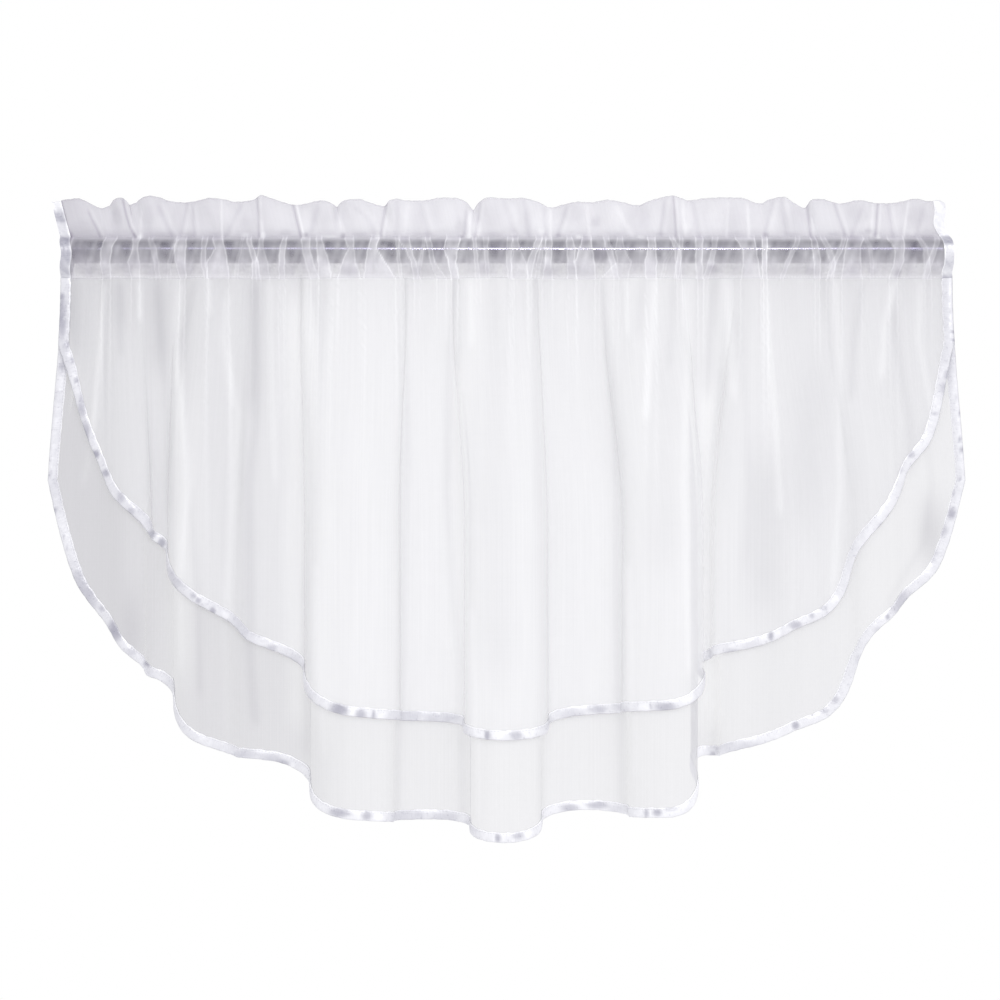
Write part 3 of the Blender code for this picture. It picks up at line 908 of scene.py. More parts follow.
class Maker:
    """Turns grids of points into finished pieces and counts their triangles."""

    def __init__(self) -> None:
        """Starts with no triangles."""
        self.triangles = 0

    def sheet(
        self,
        name: str,
        points: np.ndarray,
        uv: np.ndarray,
        finish: bpy.types.Material,
        cover: Optional[np.ndarray] = None,
        tone_and_painted_light: Optional[np.ndarray] = None,
        closed_rows: bool = False,
    ) -> bpy.types.Object:
        """Makes a cloth from a grid of points, with its UV map, its cover and its colour share, which
        holds painted shade and painted light.

        Args:
            name: the piece's name.
            points: (lines, rows, 3) in millimetres.
            uv: (lines, rows, 2) in metres.
            finish: the material.
            cover: (lines, rows), how much of the light the cloth stops.
            tone_and_painted_light: (lines, rows), how pale it is.
            closed_rows: the last row joins the first.

        Returns:
            The piece.
        """
        lines, rows = points.shape[:2]
        index = np.arange(lines * rows).reshape(lines, rows)
        if closed_rows:
            index = np.column_stack((index, index[:, 0]))
        quads = np.stack((index[:-1, :-1], index[1:, :-1], index[1:, 1:], index[:-1, 1:]), axis=-1)
        mesh = self.mesh(name, points.reshape(-1, 3) * MM, quads.reshape(-1, 4))
        layer = mesh.uv_layers.new(name="cloth")
        corners = uv.reshape(-1, 2)[quads.ravel()]
        layer.data.foreach_set("uv", corners.astype(np.float32).ravel())
        # The colour share each piece carries holds painted shade and painted light besides its own
        # paleness.
        for label, values in (("cover", cover), ("tone_and_painted_light", tone_and_painted_light)):
            if values is not None:
                data = mesh.attributes.new(label, "FLOAT", "POINT")
                data.data.foreach_set("value", values.astype(np.float32).ravel())
        return self.piece(name, mesh, finish)

    def mesh(self, name: str, points: np.ndarray, faces: np.ndarray) -> bpy.types.Mesh:
        """Makes a smooth-shaded mesh and counts its triangles.

        Args:
            name: the mesh's name.
            points: (count, 3) in metres.
            faces: (count, sides), the points of each face.

        Returns:
            The mesh.
        """
        mesh = bpy.data.meshes.new(name)
        sides = faces.shape[1]
        mesh.vertices.add(len(points))
        mesh.vertices.foreach_set("co", points.astype(np.float32).ravel())
        mesh.loops.add(faces.size)
        mesh.loops.foreach_set("vertex_index", faces.astype(np.int32).ravel())
        mesh.polygons.add(len(faces))
        mesh.polygons.foreach_set("loop_start", np.arange(0, faces.size, sides, dtype=np.int32))
        mesh.update(calc_edges=True)
        mesh.validate()
        mesh.shade_smooth()
        self.triangles += len(faces) * (sides - 2)
        return mesh

    def piece(
        self, name: str, mesh: bpy.types.Mesh, finish: bpy.types.Material
    ) -> bpy.types.Object:
        """Links a mesh to the scene as a piece at the origin.

        Args:
            name: the piece's name.
            mesh: its mesh, in its place.
            finish: the material.

        Returns:
            The piece.
        """
        item = bpy.data.objects.new(name, mesh)
        bpy.context.scene.collection.objects.link(item)
        mesh.materials.append(finish)
        return item

    def stitches(
        self,
        name: str,
        starts: np.ndarray,
        ends: np.ndarray,
        girth: float,
        finish: bpy.types.Material,
    ) -> bpy.types.Object:
        """Makes short threads: each a six-sided spindle whose rings are narrow at both ends.

        Args:
            name: the piece's name.
            starts: (count, 3) in millimetres.
            ends: (count, 3) in millimetres.
            girth: the thread's radius in millimetres.
            finish: the material.

        Returns:
            One piece with all the threads.
        """
        run = ends - starts
        ahead = run / np.maximum(np.linalg.norm(run, axis=1, keepdims=True), TINY)
        up = np.cross(ahead, np.array((0.0, 1.0, 0.0)))
        up /= np.maximum(np.linalg.norm(up, axis=1, keepdims=True), TINY)
        out = np.cross(ahead, up)
        angles = np.arange(6)[None, :, None] * TURN / 6.0
        circle = (up[:, None, :] * np.cos(angles) + out[:, None, :] * np.sin(angles)) * girth
        profile = ((0.0, 0.35), (0.2, 1.0), (0.8, 1.0), (1.0, 0.35))
        rings = [(starts + run * share)[:, None, :] + circle * wide for share, wide in profile]
        points = np.stack(rings, axis=1)
        index = np.arange(points[..., 0].size).reshape(points.shape[:3])
        turned = np.roll(index, -1, axis=2)
        quads = np.stack((index[:, :-1], turned[:, :-1], turned[:, 1:], index[:, 1:]), axis=-1)
        caps = np.concatenate(
            (index[:, 0, (0, 5, 4, 3)], index[:, 0, (0, 3, 2, 1)],
             index[:, 3, (0, 1, 2, 3)], index[:, 3, (0, 3, 4, 5)]))
        faces = np.concatenate((quads.reshape(-1, 4), caps))
        return self.piece(name, self.mesh(name, points.reshape(-1, 3) * MM, faces), finish)


@dataclass
class Panel:
    """A voile panel hung from the seam, with the satin ribbon that binds its sides and hem.

    Lengths are in millimetres. The hem gives the drop at each fold's left turn and middle; the
    cloth's and the ribbon's tables along the rod give how pale they are at places along the rod,
    with painted shade towards the ends and, on the back panel's cloth, all over; the ribbon's
    section gives how far in each of its lines lies and how far proud it stands.
    """

    name: str
    side: Side
    folds: FoldPlan
    pleats: Pleats
    creases: Creases
    hem: Table
    hem_end: float
    tones_and_painted_shade: Table
    ribbon_tones_and_painted_shade: Table
    patches: PaintedShadeAndLight
    seed: int
    slant_clear: float = 0.26
    cover: float = 0.52
    seam_level: float = -25.9
    layer_at_seam: float = 1.7
    layer_below: float = 3.0
    layer_spread_drop: float = 90.0
    side_lines: int = 40
    hem_lines: int = 960
    rows: int = 92
    row_power: float = 1.15
    smoothing: int = 6
    under_ribbon: float = 3.0
    corner_drop: float = 0.6
    fan_width: float = 30.0
    fan_reach: float = 180.0
    crease_start: float = 0.4
    crease_drop: float = 12.0
    seam_waves: Wave = Wave(0.25, 13.0, 0, 0.06)
    seam_waves_drop: float = 210.0
    loose_waves: Wave = Wave(0.35, 47.0, 1, 0.1)
    waves_start_drop: float = 10.0
    most_slant: float = 3.2
    least_step: float = 0.001
    top_dense: float = 0.05
    top_dense_drop: float = 40.0
    top_shade: float = 0.09
    top_shade_drop: float = 80.0
    ribbon_width: float = 9.5
    section: Table = (
        (9.5, 0.12), (8.9, 0.45), (7.4, 0.85), (5.0, 1.0), (2.6, 0.95), (0.9, 0.65), (0.0, 0.0))
    crumples: tuple = (Wave(0.55, 37.0, 5, 0.5), Wave(0.5, 16.0, 6, -0.9), Wave(0.3, 7.3, 7, 1.4))
    crumple_lift: float = 0.4
    crumple_painted_shade: float = 0.06
    edge_waver: Wave = Wave(0.45, 14.0, 8)
    inner_waver_from: float = 7.0
    outer_waver_to: float = 1.0
    inner_painted_light: float = 0.2
    inner_painted_light_from: float = 7.4
    inner_painted_light_width: float = 1.5
    stitch_inset: float = 1.3
    stitch_first: float = 2.0
    stitch_last: float = 3.0
    stitch_proud: float = 1.15
    stitch_pitch: float = 3.1
    stitch_length: float = 2.2
    stitch_girth: float = 0.11
    run_length: float = 0.0

    def marks(self, flat: np.ndarray, level: np.ndarray) -> np.ndarray:
        """Rise, cover and tone of the pleats and creases at places of the cloth."""
        x, _ = self.folds.plan(flat, level)
        return self.pleats.add_up(x, level) + self.creases.add_up(x, level)

    def point(self, flat: np.ndarray, level: np.ndarray, proud: np.ndarray) -> np.ndarray:
        """A point of the layer: the folded plan, moved to its side, with its creases forward.

        Args:
            flat: distance along the flat cloth.
            level: height above the rod's axis.
            proud: extra distance to the front.

        Returns:
            Points in millimetres.
        """
        drop = self.folds.seam_level - level
        below = smooth(drop / self.layer_spread_drop)
        reach = self.layer_at_seam + (self.layer_below - self.layer_at_seam) * below
        rise = self.marks(flat, level)[0] * smooth((drop + self.crease_start) / self.crease_drop)
        waves = self.seam_waves.at(self.folds.seam_x(flat), drop, self.seed)
        waves = waves * np.exp(-drop / self.seam_waves_drop)
        waves = waves + self.loose_waves.at(flat, drop, self.seed) * below
        forward = rise + waves * smooth(drop / self.waves_start_drop) + proud
        x, y = beside(self.folds.plan, flat, level, self.side.value * reach - forward)
        return np.stack((x, y, level), axis=-1)

    def outline(self, width: Union[float, np.ndarray]) -> np.ndarray:
        """The cut edge and a line inside it, as flat distance and level: down one side, along the
        hem, up the other side, each point moved inwards at right angles to the edge.

        Args:
            width: how far inside, in millimetres.

        Returns:
            (lines, 2) points.
        """
        drops = np.append(np.array(self.hem, dtype=float).ravel(), self.hem_end)
        places = np.linspace(0.0, self.folds.count, self.hem_lines + 1)[1:-1]
        hem_flat = np.interp(places, self.folds.fine_places, self.folds.fine_flat)
        hem_level = -curve_through(self.folds.halves, drops, places)
        left = np.linspace(self.seam_level, -drops[0], self.side_lines)
        right = np.linspace(-drops[-1], self.seam_level, self.side_lines)
        end = self.folds.flat_width
        flat = np.concatenate((np.zeros(len(left)), hem_flat, np.full(len(right), end)))
        level = np.concatenate((left, hem_level, right))
        kernel = np.hanning(2 * self.smoothing + 1)
        kernel = kernel / kernel.sum()
        wide_flat = np.pad(flat, self.smoothing, "edge")
        wide_level = np.pad(level, self.smoothing, "reflect", reflect_type="odd")
        run_flat = np.convolve(np.gradient(wide_flat), kernel, "valid")
        run_level = np.convolve(np.gradient(wide_level), kernel, "valid")
        length = np.hypot(run_flat, run_level)
        across = np.stack((-run_level / length, run_flat / length), axis=-1)
        across[:self.smoothing] = (1.0, 0.0)
        across[-self.smoothing:] = (-1.0, 0.0)
        return np.stack((flat, level), axis=-1) + across * np.reshape(width, (-1, 1))

    def cloth(self, maker: Maker, finish: bpy.types.Material) -> bpy.types.Object:
        """The voile: straight flat lines from the seam, fanned at both corners, to the hem.

        Args:
            maker: makes the piece.
            finish: the voile.

        Returns:
            The voile.
        """
        start = self.ribbon_width - self.under_ribbon
        inner = self.outline(start)
        inner[[0, -1], 1] -= self.corner_drop
        corner = np.linspace(start, start + self.fan_width, self.side_lines)
        middle = self.outline(0.0)[self.side_lines:-self.side_lines, 0]
        from_left = 1.0 - smooth(middle / self.fan_reach)
        from_right = 1.0 - smooth((self.folds.flat_width - middle) / self.fan_reach)
        middle = middle + (start + self.fan_width) * (from_left - from_right)
        tops = np.concatenate((corner, middle, self.folds.flat_width - corner[::-1]))
        top = np.stack((tops, np.full(len(tops), self.seam_level)), axis=-1)
        rows = np.linspace(0.0, 1.0, self.rows)[None, :, None] ** self.row_power
        flat = top[:, None, :] + (inner - top)[:, None, :] * rows
        points = self.point(flat[..., 0], flat[..., 1], np.zeros(flat.shape[:2]))
        cover, tone_and_painted_light = self.looks(points, flat)
        return maker.sheet(f"{self.name}_voile", points, flat * MM, finish, cover, tone_and_painted_light)

    def looks(self, points: np.ndarray, flat: np.ndarray) -> tuple[np.ndarray, np.ndarray]:
        """Cover and colour share: the cloth's own, clearer where it slants to the rod, and the
        creases';
        the colour share adds painted shade along the rod and just under the seam.

        Args:
            points: the grid of points.
            flat: flat distance and level of each.

        Returns:
            The cover and the tone of each point.
        """
        along_rod, away, _ = np.moveaxis(np.gradient(points, axis=0), -1, 0)
        slant = np.hypot(along_rod, away) / np.maximum(np.abs(along_rod), self.least_step)
        dense = 1.0 - self.slant_clear * (np.clip(slant, 1.0, self.most_slant) - 1.0)
        drop = self.folds.seam_level - flat[..., 1]
        dense = dense + self.top_dense * np.exp(-drop / self.top_dense_drop)
        _, cover, tone_and_painted_light = self.marks(flat[..., 0], flat[..., 1])
        # Painted shade along the rod from the table, then painted shade just under the seam.
        tone_and_painted_light = tone_and_painted_light + read(self.tones_and_painted_shade, points[..., 0])
        tone_and_painted_light = tone_and_painted_light - self.top_shade * np.exp(-drop / self.top_shade_drop)
        return 1.0 - (1.0 - self.cover) ** dense + cover, tone_and_painted_light

    def ribbon(self, maker: Maker, finish: bpy.types.Material) -> bpy.types.Object:
        """The binding: a strip folded round the cut edge, crumpled unevenly along its run.

        Args:
            maker: makes the piece.
            finish: the satin.

        Returns:
            The binding.
        """
        reach, proud = np.array(self.section).T
        reach = np.append(reach, reach[-2::-1])
        proud = np.append(proud, -proud[-2::-1])
        run = along(self.outline(0.0))
        place, across = np.broadcast_arrays(run[:, None], reach[None, :])
        crumple = sum(wave.at(place, across, self.seed) for wave in self.crumples)
        waver = self.edge_waver.at(run, reseed=self.seed)
        shares = (reach > self.inner_waver_from) + 0.5 * (reach < self.outer_waver_to)
        flat = np.stack(
            [self.outline(width + waver * share) for width, share in zip(reach, shares)], axis=1)
        lift = proud + self.crumple_lift * crumple * np.clip(proud, -1.0, 1.0)
        points = self.point(flat[..., 0], flat[..., 1], lift)
        # Painted light along the binding's inner edge, lifting the shadow at its step onto the cloth.
        inner = np.clip((reach - self.inner_painted_light_from) / self.inner_painted_light_width, 0.0, 1.0)
        # Painted shade along the rod and in the crumples' hollows, painted light on their crests; the
        # patches add painted shade and glints.
        tone_and_painted_light = read(self.ribbon_tones_and_painted_shade, points[..., 0]) + self.crumple_painted_shade * crumple
        tone_and_painted_light = tone_and_painted_light + self.patches.add_up(points[..., 0], points[..., 2]) + self.inner_painted_light * inner
        self.run_length = float(run[-1])
        uv = spread(place, across) * MM
        return maker.sheet(
            f"{self.name}_binding", points, uv, finish, tone_and_painted_light=np.clip(tone_and_painted_light, 0.0, 1.0))

    def stitching(self, maker: Maker, finish: bpy.types.Material) -> bpy.types.Object:
        """A row of stitches just inside the ribbon's edge, on its front.

        Args:
            maker: makes the piece.
            finish: the thread.

        Returns:
            The stitches.
        """
        line = self.outline(self.ribbon_width - self.stitch_inset)
        run = along(line)
        starts = np.arange(self.stitch_first, run[-1] - self.stitch_last, self.stitch_pitch)

        def at(place: np.ndarray) -> np.ndarray:
            """The stitch line's points at distances along it."""
            flat, level = (np.interp(place, run, part) for part in line.T)
            return self.point(flat, level, np.full_like(flat, self.stitch_proud))

        ends = at(starts + self.stitch_length)
        return maker.stitches(
            f"{self.name}_stitches", at(starts), ends, self.stitch_girth, finish)


@dataclass
class Heading:
    """The folded strip with the rod pocket and the ruffle, and the ribbons at its ends.

    Lengths are in millimetres. The ruffle gives its edge's height and depth at places along the
    rod; the section gives the pocket's level, reach from the middle and fullness; the level table
    gives cover and painted shade by level, darker about the rod's top and just below the rod, and
    the table along the rod gives how pale the cloth is at places along the rod, with painted shade
    towards both ends, deepest at the left. Each end shift is how far, over how much flat cloth,
    about which level and how high; each stitch row is a level and its reach.
    """

    folds: FoldPlan
    pleats: Pleats
    creases: Creases
    patches: PaintedShadeAndLight
    columns: tuple = ("x", "height", "depth")
    ruffle: Table = (
        (-430, 47.0, 0), (-420, 48.5, -2), (-407, 49.5, -5), (-399, 46.3, -3), (-388, 41.0, 4),
        (-380, 43.3, 4), (-369, 50.3, -4), (-365, 49.9, -3), (-361, 44.2, 3), (-354, 45.9, 2),
        (-346, 50.6, -3), (-339, 52.0, -5), (-331, 50.8, -3), (-320, 47.4, 2), (-308, 46.4, 4),
        (-297, 47.3, 1), (-282, 49.9, -5), (-270, 48.8, -4), (-259, 47.0, 3), (-251, 47.2, 2),
        (-240, 49.2, 0), (-234, 52.8, -4), (-228, 51.1, -5), (-217, 47.6, 0), (-202, 44.1, 5),
        (-190, 45.5, 1), (-177, 47.7, -3), (-170, 46.5, -3), (-164, 42.4, 4), (-158, 46.5, 0),
        (-152, 48.4, -4), (-141, 48.9, -5), (-130, 45.7, 1), (-119, 43.0, 4), (-111, 48.2, -3),
        (-105, 49.2, -4), (-95, 47.9, 0), (-80, 48.0, 1), (-63, 50.3, -4), (-50, 50.0, -5),
        (-42, 48.0, -3), (-35, 39.2, 5), (-27, 46.6, -1), (-18, 50.5, -5), (0, 49.6, -3),
        (13, 49.9, -6), (26, 47.7, -1), (40, 41.7, 5), (53, 44.5, 2), (68, 46.6, -2),
        (78, 46.1, -1), (95, 48.1, -5), (110, 46.0, -1), (122, 43.6, 3), (136, 48.0, -1),
        (157, 52.0, -5), (166, 49.8, -1), (172, 48.2, 2), (186, 49.8, -1), (203, 50.5, -4),
        (222, 50.2, -3), (239, 45.4, 3), (250, 49.2, -1), (262, 51.0, -5), (271, 46.0, 0),
        (281, 41.3, 5), (286, 46.0, 1), (289, 48.8, -3), (297, 49.0, -4), (315, 45.3, 2),
        (334, 48.0, -3), (351, 45.4, 1), (360, 45.4, 2), (372, 46.5, 0), (387, 49.1, -5),
        (401, 47.0, -2), (408, 48.0, -3), (416, 46.0, 0), (428, 46.0, 0))
    section: Table = (
        (-26.6, 1.7, 0.0), (-23.6, 2.2, 0.1), (-20.5, 5.4, 0.4), (-17.5, 8.6, 0.7),
        (-13.0, 11.8, 0.9), (-8.0, 13.6, 1.0), (-4.0, 14.3, 1.0), (0.0, 14.6, 1.0),
        (3.5, 14.5, 0.9), (7.0, 12.9, 0.7), (9.8, 9.95, 0.4), (11.8, 6.0, 0.2), (13.55, 2.1, 0.0))
    front_rows: int = 25
    cover_and_painted_shade_by_level: Table = (
        (-27.0, 0.34, 0.12), (-25.4, 0.46, 0.08), (-19.0, 0.55, 0.02), (-14.0, 0.60, -0.02),
        (-12.5, 0.61, -0.01), (-11.0, 0.58, 0.02), (-8.5, 0.51, 0.06), (-5.0, 0.41, 0.12),
        (3.5, 0.38, 0.14), (6.0, 0.34, 0.07), (8.0, 0.42, 0.02), (9.5, 0.62, -0.02),
        (11.0, 0.74, -0.04), (12.5, 0.78, -0.07), (14.5, 0.74, -0.08), (17.0, 0.64, -0.02),
        (22.0, 0.56, 0.07), (40.0, 0.54, 0.03), (52.0, 0.52, 0.01))
    tones_and_painted_shade: Table = (
        (-440, 0.40), (-415, 0.42), (-395, 0.52), (-250, 0.60), (-100, 0.69), (50, 0.69),
        (250, 0.66), (440, 0.56))
    cloud_waves: tuple = (Wave(1.0, 31.0, 71, 0.4), Wave(0.7, 12.0, 72, -0.3))
    cloud_swell: Wave = Wave(0.6, 14.0, 73, 0.2)
    cloud_cover: float = 0.11
    cloud_low: float = -26.0
    cloud_low_edge: float = 5.0
    cloud_high: float = 12.0
    cloud_high_edge: float = 6.0
    outline_from: float = 0.96
    outline_tone: float = -0.04
    outline_cover: float = 0.04
    ruffle_seam: float = 12.65
    ruffle_start: float = 0.9
    ruffle_leaf: float = 2.1
    ruffle_turn: float = 1.2
    ruffle_shares: tuple = (
        0.07, 0.16, 0.26, 0.36, 0.46, 0.56, 0.66, 0.76, 0.86, 0.94, 0.972, 1.0)
    ruffle_edge: Wave = Wave(0.25, 9.0, 21)
    ruffle_waves: Wave = Wave(0.25, 17.0, 41)
    ruffle_waves_rise: float = 34.0
    ruffle_depth_rise: float = 30.0
    seam_gather: float = 0.2
    seam_gather_breadth: float = 8.0
    pocket_puff: float = 1.6
    puff_phase: float = 2.0
    pocket_waves: Wave = Wave(0.3, 7.0, 31)
    lean: float = 9.0
    lean_start: float = 12.0
    lean_rise: float = 36.0
    plain_level: float = -12.0
    crease_rise: float = 5.0
    deepest_crease: float = 0.9
    end_plain: float = 6.0
    end_shifts: Table = ((2.4, 26.0, -3.0, 10.0), (-5.5, 40.0, 24.0, 11.0))
    lines: int = 1400
    under_ribbon: float = 2.0
    ribbon_width: float = 9.5
    ribbon_cut: float = 10.0
    ribbon_lines: int = 14
    ribbon_margin: float = 0.2
    measured_line: int = 5
    ribbon_low: float = 0.1
    ribbon_proud: float = 0.35
    ribbon_edge: float = 1.6
    ribbon_painted_light: float = 0.4
    ribbon_painted_light_width: float = 1.8
    crumples: tuple = (Wave(0.6, 19.0, 51, 1.2), Wave(0.4, 8.0, 53, 1.2))
    crumple_painted_shade: float = 0.18
    stitch_rows: Table = ((-24.9, 1.95), (13.55, 2.1))
    stitch_first: float = 1.0
    stitch_last: float = 3.0
    stitch_pitch: float = 3.0
    stitch_length: float = 2.1
    stitch_girth: float = 0.1
    strip_length: float = 0.0
    end_length: float = 0.0

    def ruffle_value(self, x: np.ndarray, name: str) -> np.ndarray:
        """Height or depth of the ruffle's edge at a place of its leaning top."""
        places = column(self.ruffle, self.columns, "x")
        return curve_through(places, column(self.ruffle, self.columns, name), x - self.lean)

    def rows(self, count: int) -> list[Row]:
        """The rows up one leaf: the pocket's, evenly along its section, and the ruffle's.

        Args:
            count: rows of the pocket.

        Returns:
            What each row is, its level or share of the ruffle, its reach and its fullness.
        """
        section = np.array(self.section)
        run = along(section[:, :2])
        at = np.linspace(0.0, run[-1], count)
        parts = [curve_through(run, part, at) for part in section.T]
        pocket = [("pocket", *map(float, row)) for row in zip(*parts)]
        ruffle = [("ruffle", share, self.ruffle_leaf, 0.0) for share in self.ruffle_shares]
        return pocket + ruffle + [("edge", 1.0, 0.0, 0.0)]

    def line(
        self, flat: np.ndarray, side: Side, row: Row, proud: Union[float, np.ndarray]
    ) -> np.ndarray:
        """One row of a leaf: the pocket's section or the ruffle's share of its height.

        Args:
            flat: distance along the flat cloth.
            side: the front or the back leaf.
            row: what the row is.
            proud: extra distance outwards.

        Returns:
            Points in millimetres.
        """
        kind, value, reach, full = row
        leaf = side.value
        seam_x = self.folds.seam_x(flat)
        if kind == "pocket":
            level = np.full_like(flat, value)
            turn = TURN * seam_x / self.folds.gather_pitch + self.puff_phase + leaf
            puff = self.pocket_puff * (0.5 + 0.5 * np.sin(turn))
            reach = reach + full * (puff + self.pocket_waves.at(seam_x, reseed=leaf))
        else:
            base = self.ruffle_seam + self.ruffle_start
            top = self.ruffle_value(seam_x, "height") + self.ruffle_edge.at(seam_x)
            top = top - (self.ruffle_turn if kind == "ruffle" else 0.0)
            level = base + (top - base) * value
        below = smooth((self.plain_level - level) / (self.plain_level - self.folds.seam_level))
        over_seam = level - self.ruffle_seam
        above = smooth(over_seam / self.ruffle_depth_rise)
        gathered = self.seam_gather * bell(over_seam, self.seam_gather_breadth)
        swell = np.sin(math.pi * np.clip(over_seam / self.ruffle_waves_rise, 0.0, 1.0))
        lean = self.lean * np.clip((level - self.lean_start) / self.lean_rise, 0.0, 1.0)

        def plan(place: np.ndarray, _: np.ndarray) -> tuple[np.ndarray, np.ndarray]:
            """The heading's middle: the seam's gathers below, the ruffle's waves above.

            Args:
                place: distance along the flat cloth.

            Returns:
                x and y in millimetres.
            """
            own = self.folds.seam_x(place)
            x, y = self.folds.plan(place, np.full_like(place, self.folds.seam_level))
            y = y * below + self.ruffle_value(own, "depth") * above
            y = y + self.folds.gather(own) * gathered + self.ruffle_waves.at(own) * swell
            return own + (x - own) * below - lean, y

        x, y = beside(plan, flat, level, leaf * (reach + proud))
        return np.stack((x + self.end_shift(flat, level), y, level), axis=-1)

    def end_shift(self, flat: np.ndarray, level: np.ndarray) -> np.ndarray:
        """How far the ends stand aside: drawn in over the rod on the left, leaning on the right.

        Args:
            flat: distance along the flat cloth.
            level: height above the rod's axis.

        Returns:
            How far each point moves along the rod.
        """
        total = np.zeros_like(flat)
        for inside, row in zip((flat, self.folds.flat_width - flat), self.end_shifts):
            shift, reach, middle, high = row
            near = 1.0 - smooth((inside - self.end_plain) / reach)
            total += shift * near * bell(level - middle, high)
        return total

    def grid(
        self, flat: np.ndarray, proud: Union[float, np.ndarray]
    ) -> tuple[np.ndarray, np.ndarray, np.ndarray]:
        """Up the front leaf with its creases, over the ruffle's edge and down the back leaf.

        Args:
            flat: distances along the flat cloth.
            proud: extra distance outwards.

        Returns:
            The points and the creases' cover and tone, with none on the back leaf.
        """
        front, covers, tones_and_painted_shade = [], [], []
        for row in self.rows(self.front_rows):
            plain = self.line(flat, Side.FRONT, row, 0.0)
            x, level = plain[:, 0], plain[:, 2]
            rise, cover, tone_and_painted_light = self.pleats.add_up(x, level) + self.creases.add_up(x, level)
            rise = rise * smooth((level - self.section[0][0]) / self.crease_rise)
            if row[0] == "edge":
                rise = 0.0 * rise
            raised = proud + np.maximum(rise, -self.deepest_crease)
            front.append(self.line(flat, Side.FRONT, row, raised))
            bound = float(row[0] != "pocket" and row[1] > self.outline_from)
            covers.append(cover + bound * self.outline_cover)
            # The patches add painted shade and painted light to the front leaf.
            tones_and_painted_shade.append(tone_and_painted_light + bound * self.outline_tone + self.patches.add_up(x, level))
        down = self.rows(len(self.section))[-2::-1]
        back = [self.line(flat, Side.BACK, row, proud) for row in down]
        nothing = [np.zeros(len(flat))] * len(back)
        parts = (front + back, covers + nothing, tones_and_painted_shade + nothing)
        return tuple(np.stack(part, axis=1) for part in parts)

    def cloth(self, maker: Maker, finish: bpy.types.Material) -> bpy.types.Object:
        """The whole folded strip between its end ribbons, with clouds of uneven cloth over the rod.

        Args:
            maker: makes the piece.
            finish: the voile.

        Returns:
            The strip.
        """
        start = self.ribbon_width - self.under_ribbon
        flat = np.linspace(start, self.folds.flat_width - start, self.lines)
        points, cover, tone_and_painted_light = self.grid(flat, 0.0)
        run = along(points[self.lines // 2])
        x, level = points[..., 0], points[..., 2]
        low = smooth((level - self.cloud_low) / self.cloud_low_edge)
        high = smooth((self.cloud_high - level) / self.cloud_high_edge)
        clouds = sum(wave.at(x, level) for wave in self.cloud_waves)
        clouds = clouds * (1.0 + self.cloud_swell.at(level, x))
        cover = cover + read(self.cover_and_painted_shade_by_level, level) + self.cloud_cover * clouds * low * high
        # Painted shade by level about the rod, and along the rod towards both ends.
        tone_and_painted_light = tone_and_painted_light + read(self.cover_and_painted_shade_by_level, level, 2) + read(self.tones_and_painted_shade, x)
        self.strip_length = float(run[-1])
        uv = spread(flat[:, None], run[None, :]) * MM
        return maker.sheet("heading_voile", points, uv, finish, cover, tone_and_painted_light)

    def ribbon(
        self, maker: Maker, name: str, right: bool, tones_and_painted_shade: Table, finish: bpy.types.Material
    ) -> bpy.types.Object:
        """The binding of one end, lying on both leaves and crumpled.

        Args:
            maker: makes the piece.
            name: its name.
            right: at the right end.
            tones_and_painted_shade: how pale it is at each level.
            finish: the satin.

        Returns:
            The binding.
        """
        flat = np.linspace(self.ribbon_margin, self.ribbon_width, self.ribbon_lines)
        inside = self.ribbon_width - flat
        if right:
            flat = self.folds.flat_width - flat[::-1]
            inside = inside[::-1]
        proud = self.ribbon_low + self.ribbon_proud * smooth(inside / self.ribbon_edge)
        points, _, _ = self.grid(flat, proud)
        run = along(points[self.measured_line])
        place, across = np.broadcast_arrays(run[None, :], flat[:, None])
        crumple = sum(wave.at(place, across, int(right)) for wave in self.crumples)
        # Painted light along the inner edge, lifting the shadow there.
        pale = self.ribbon_painted_light * (1.0 - smooth(inside / self.ribbon_painted_light_width))
        # Painted shade by level over the rod, and in the crumples' hollows with painted light on their
        # crests.
        tone_and_painted_light = read(tones_and_painted_shade, points[..., 2]) + self.crumple_painted_shade * crumple + pale[:, None]
        self.end_length = float(run[-1])
        return maker.sheet(
            name, points, spread(place, across) * MM, finish, tone_and_painted_light=np.clip(tone_and_painted_light, 0.0, 1.0))

    def stitching(self, maker: Maker, finish: bpy.types.Material) -> bpy.types.Object:
        """Stitches along the pocket's seam and the ruffle's seam, on the front leaf.

        Args:
            maker: makes the piece.
            finish: the thread.

        Returns:
            The stitches.
        """
        first = self.stitch_first
        flat = np.linspace(first, self.folds.flat_width - first, self.lines)
        starts, ends = [], []
        for level, reach in self.stitch_rows:
            row = ("pocket", level, reach, 0.0)
            line = self.line(flat, Side.FRONT, row, self.stitch_girth)
            run = along(line)
            places = np.arange(first, run[-1] - self.stitch_last, self.stitch_pitch)
            for share, store in ((0.0, starts), (self.stitch_length, ends)):
                parts = [np.interp(places + share, run, part) for part in line.T]
                store.append(np.stack(parts, axis=-1))
        return maker.stitches(
            "heading_stitches", np.concatenate(starts), np.concatenate(ends),
            self.stitch_girth, finish)


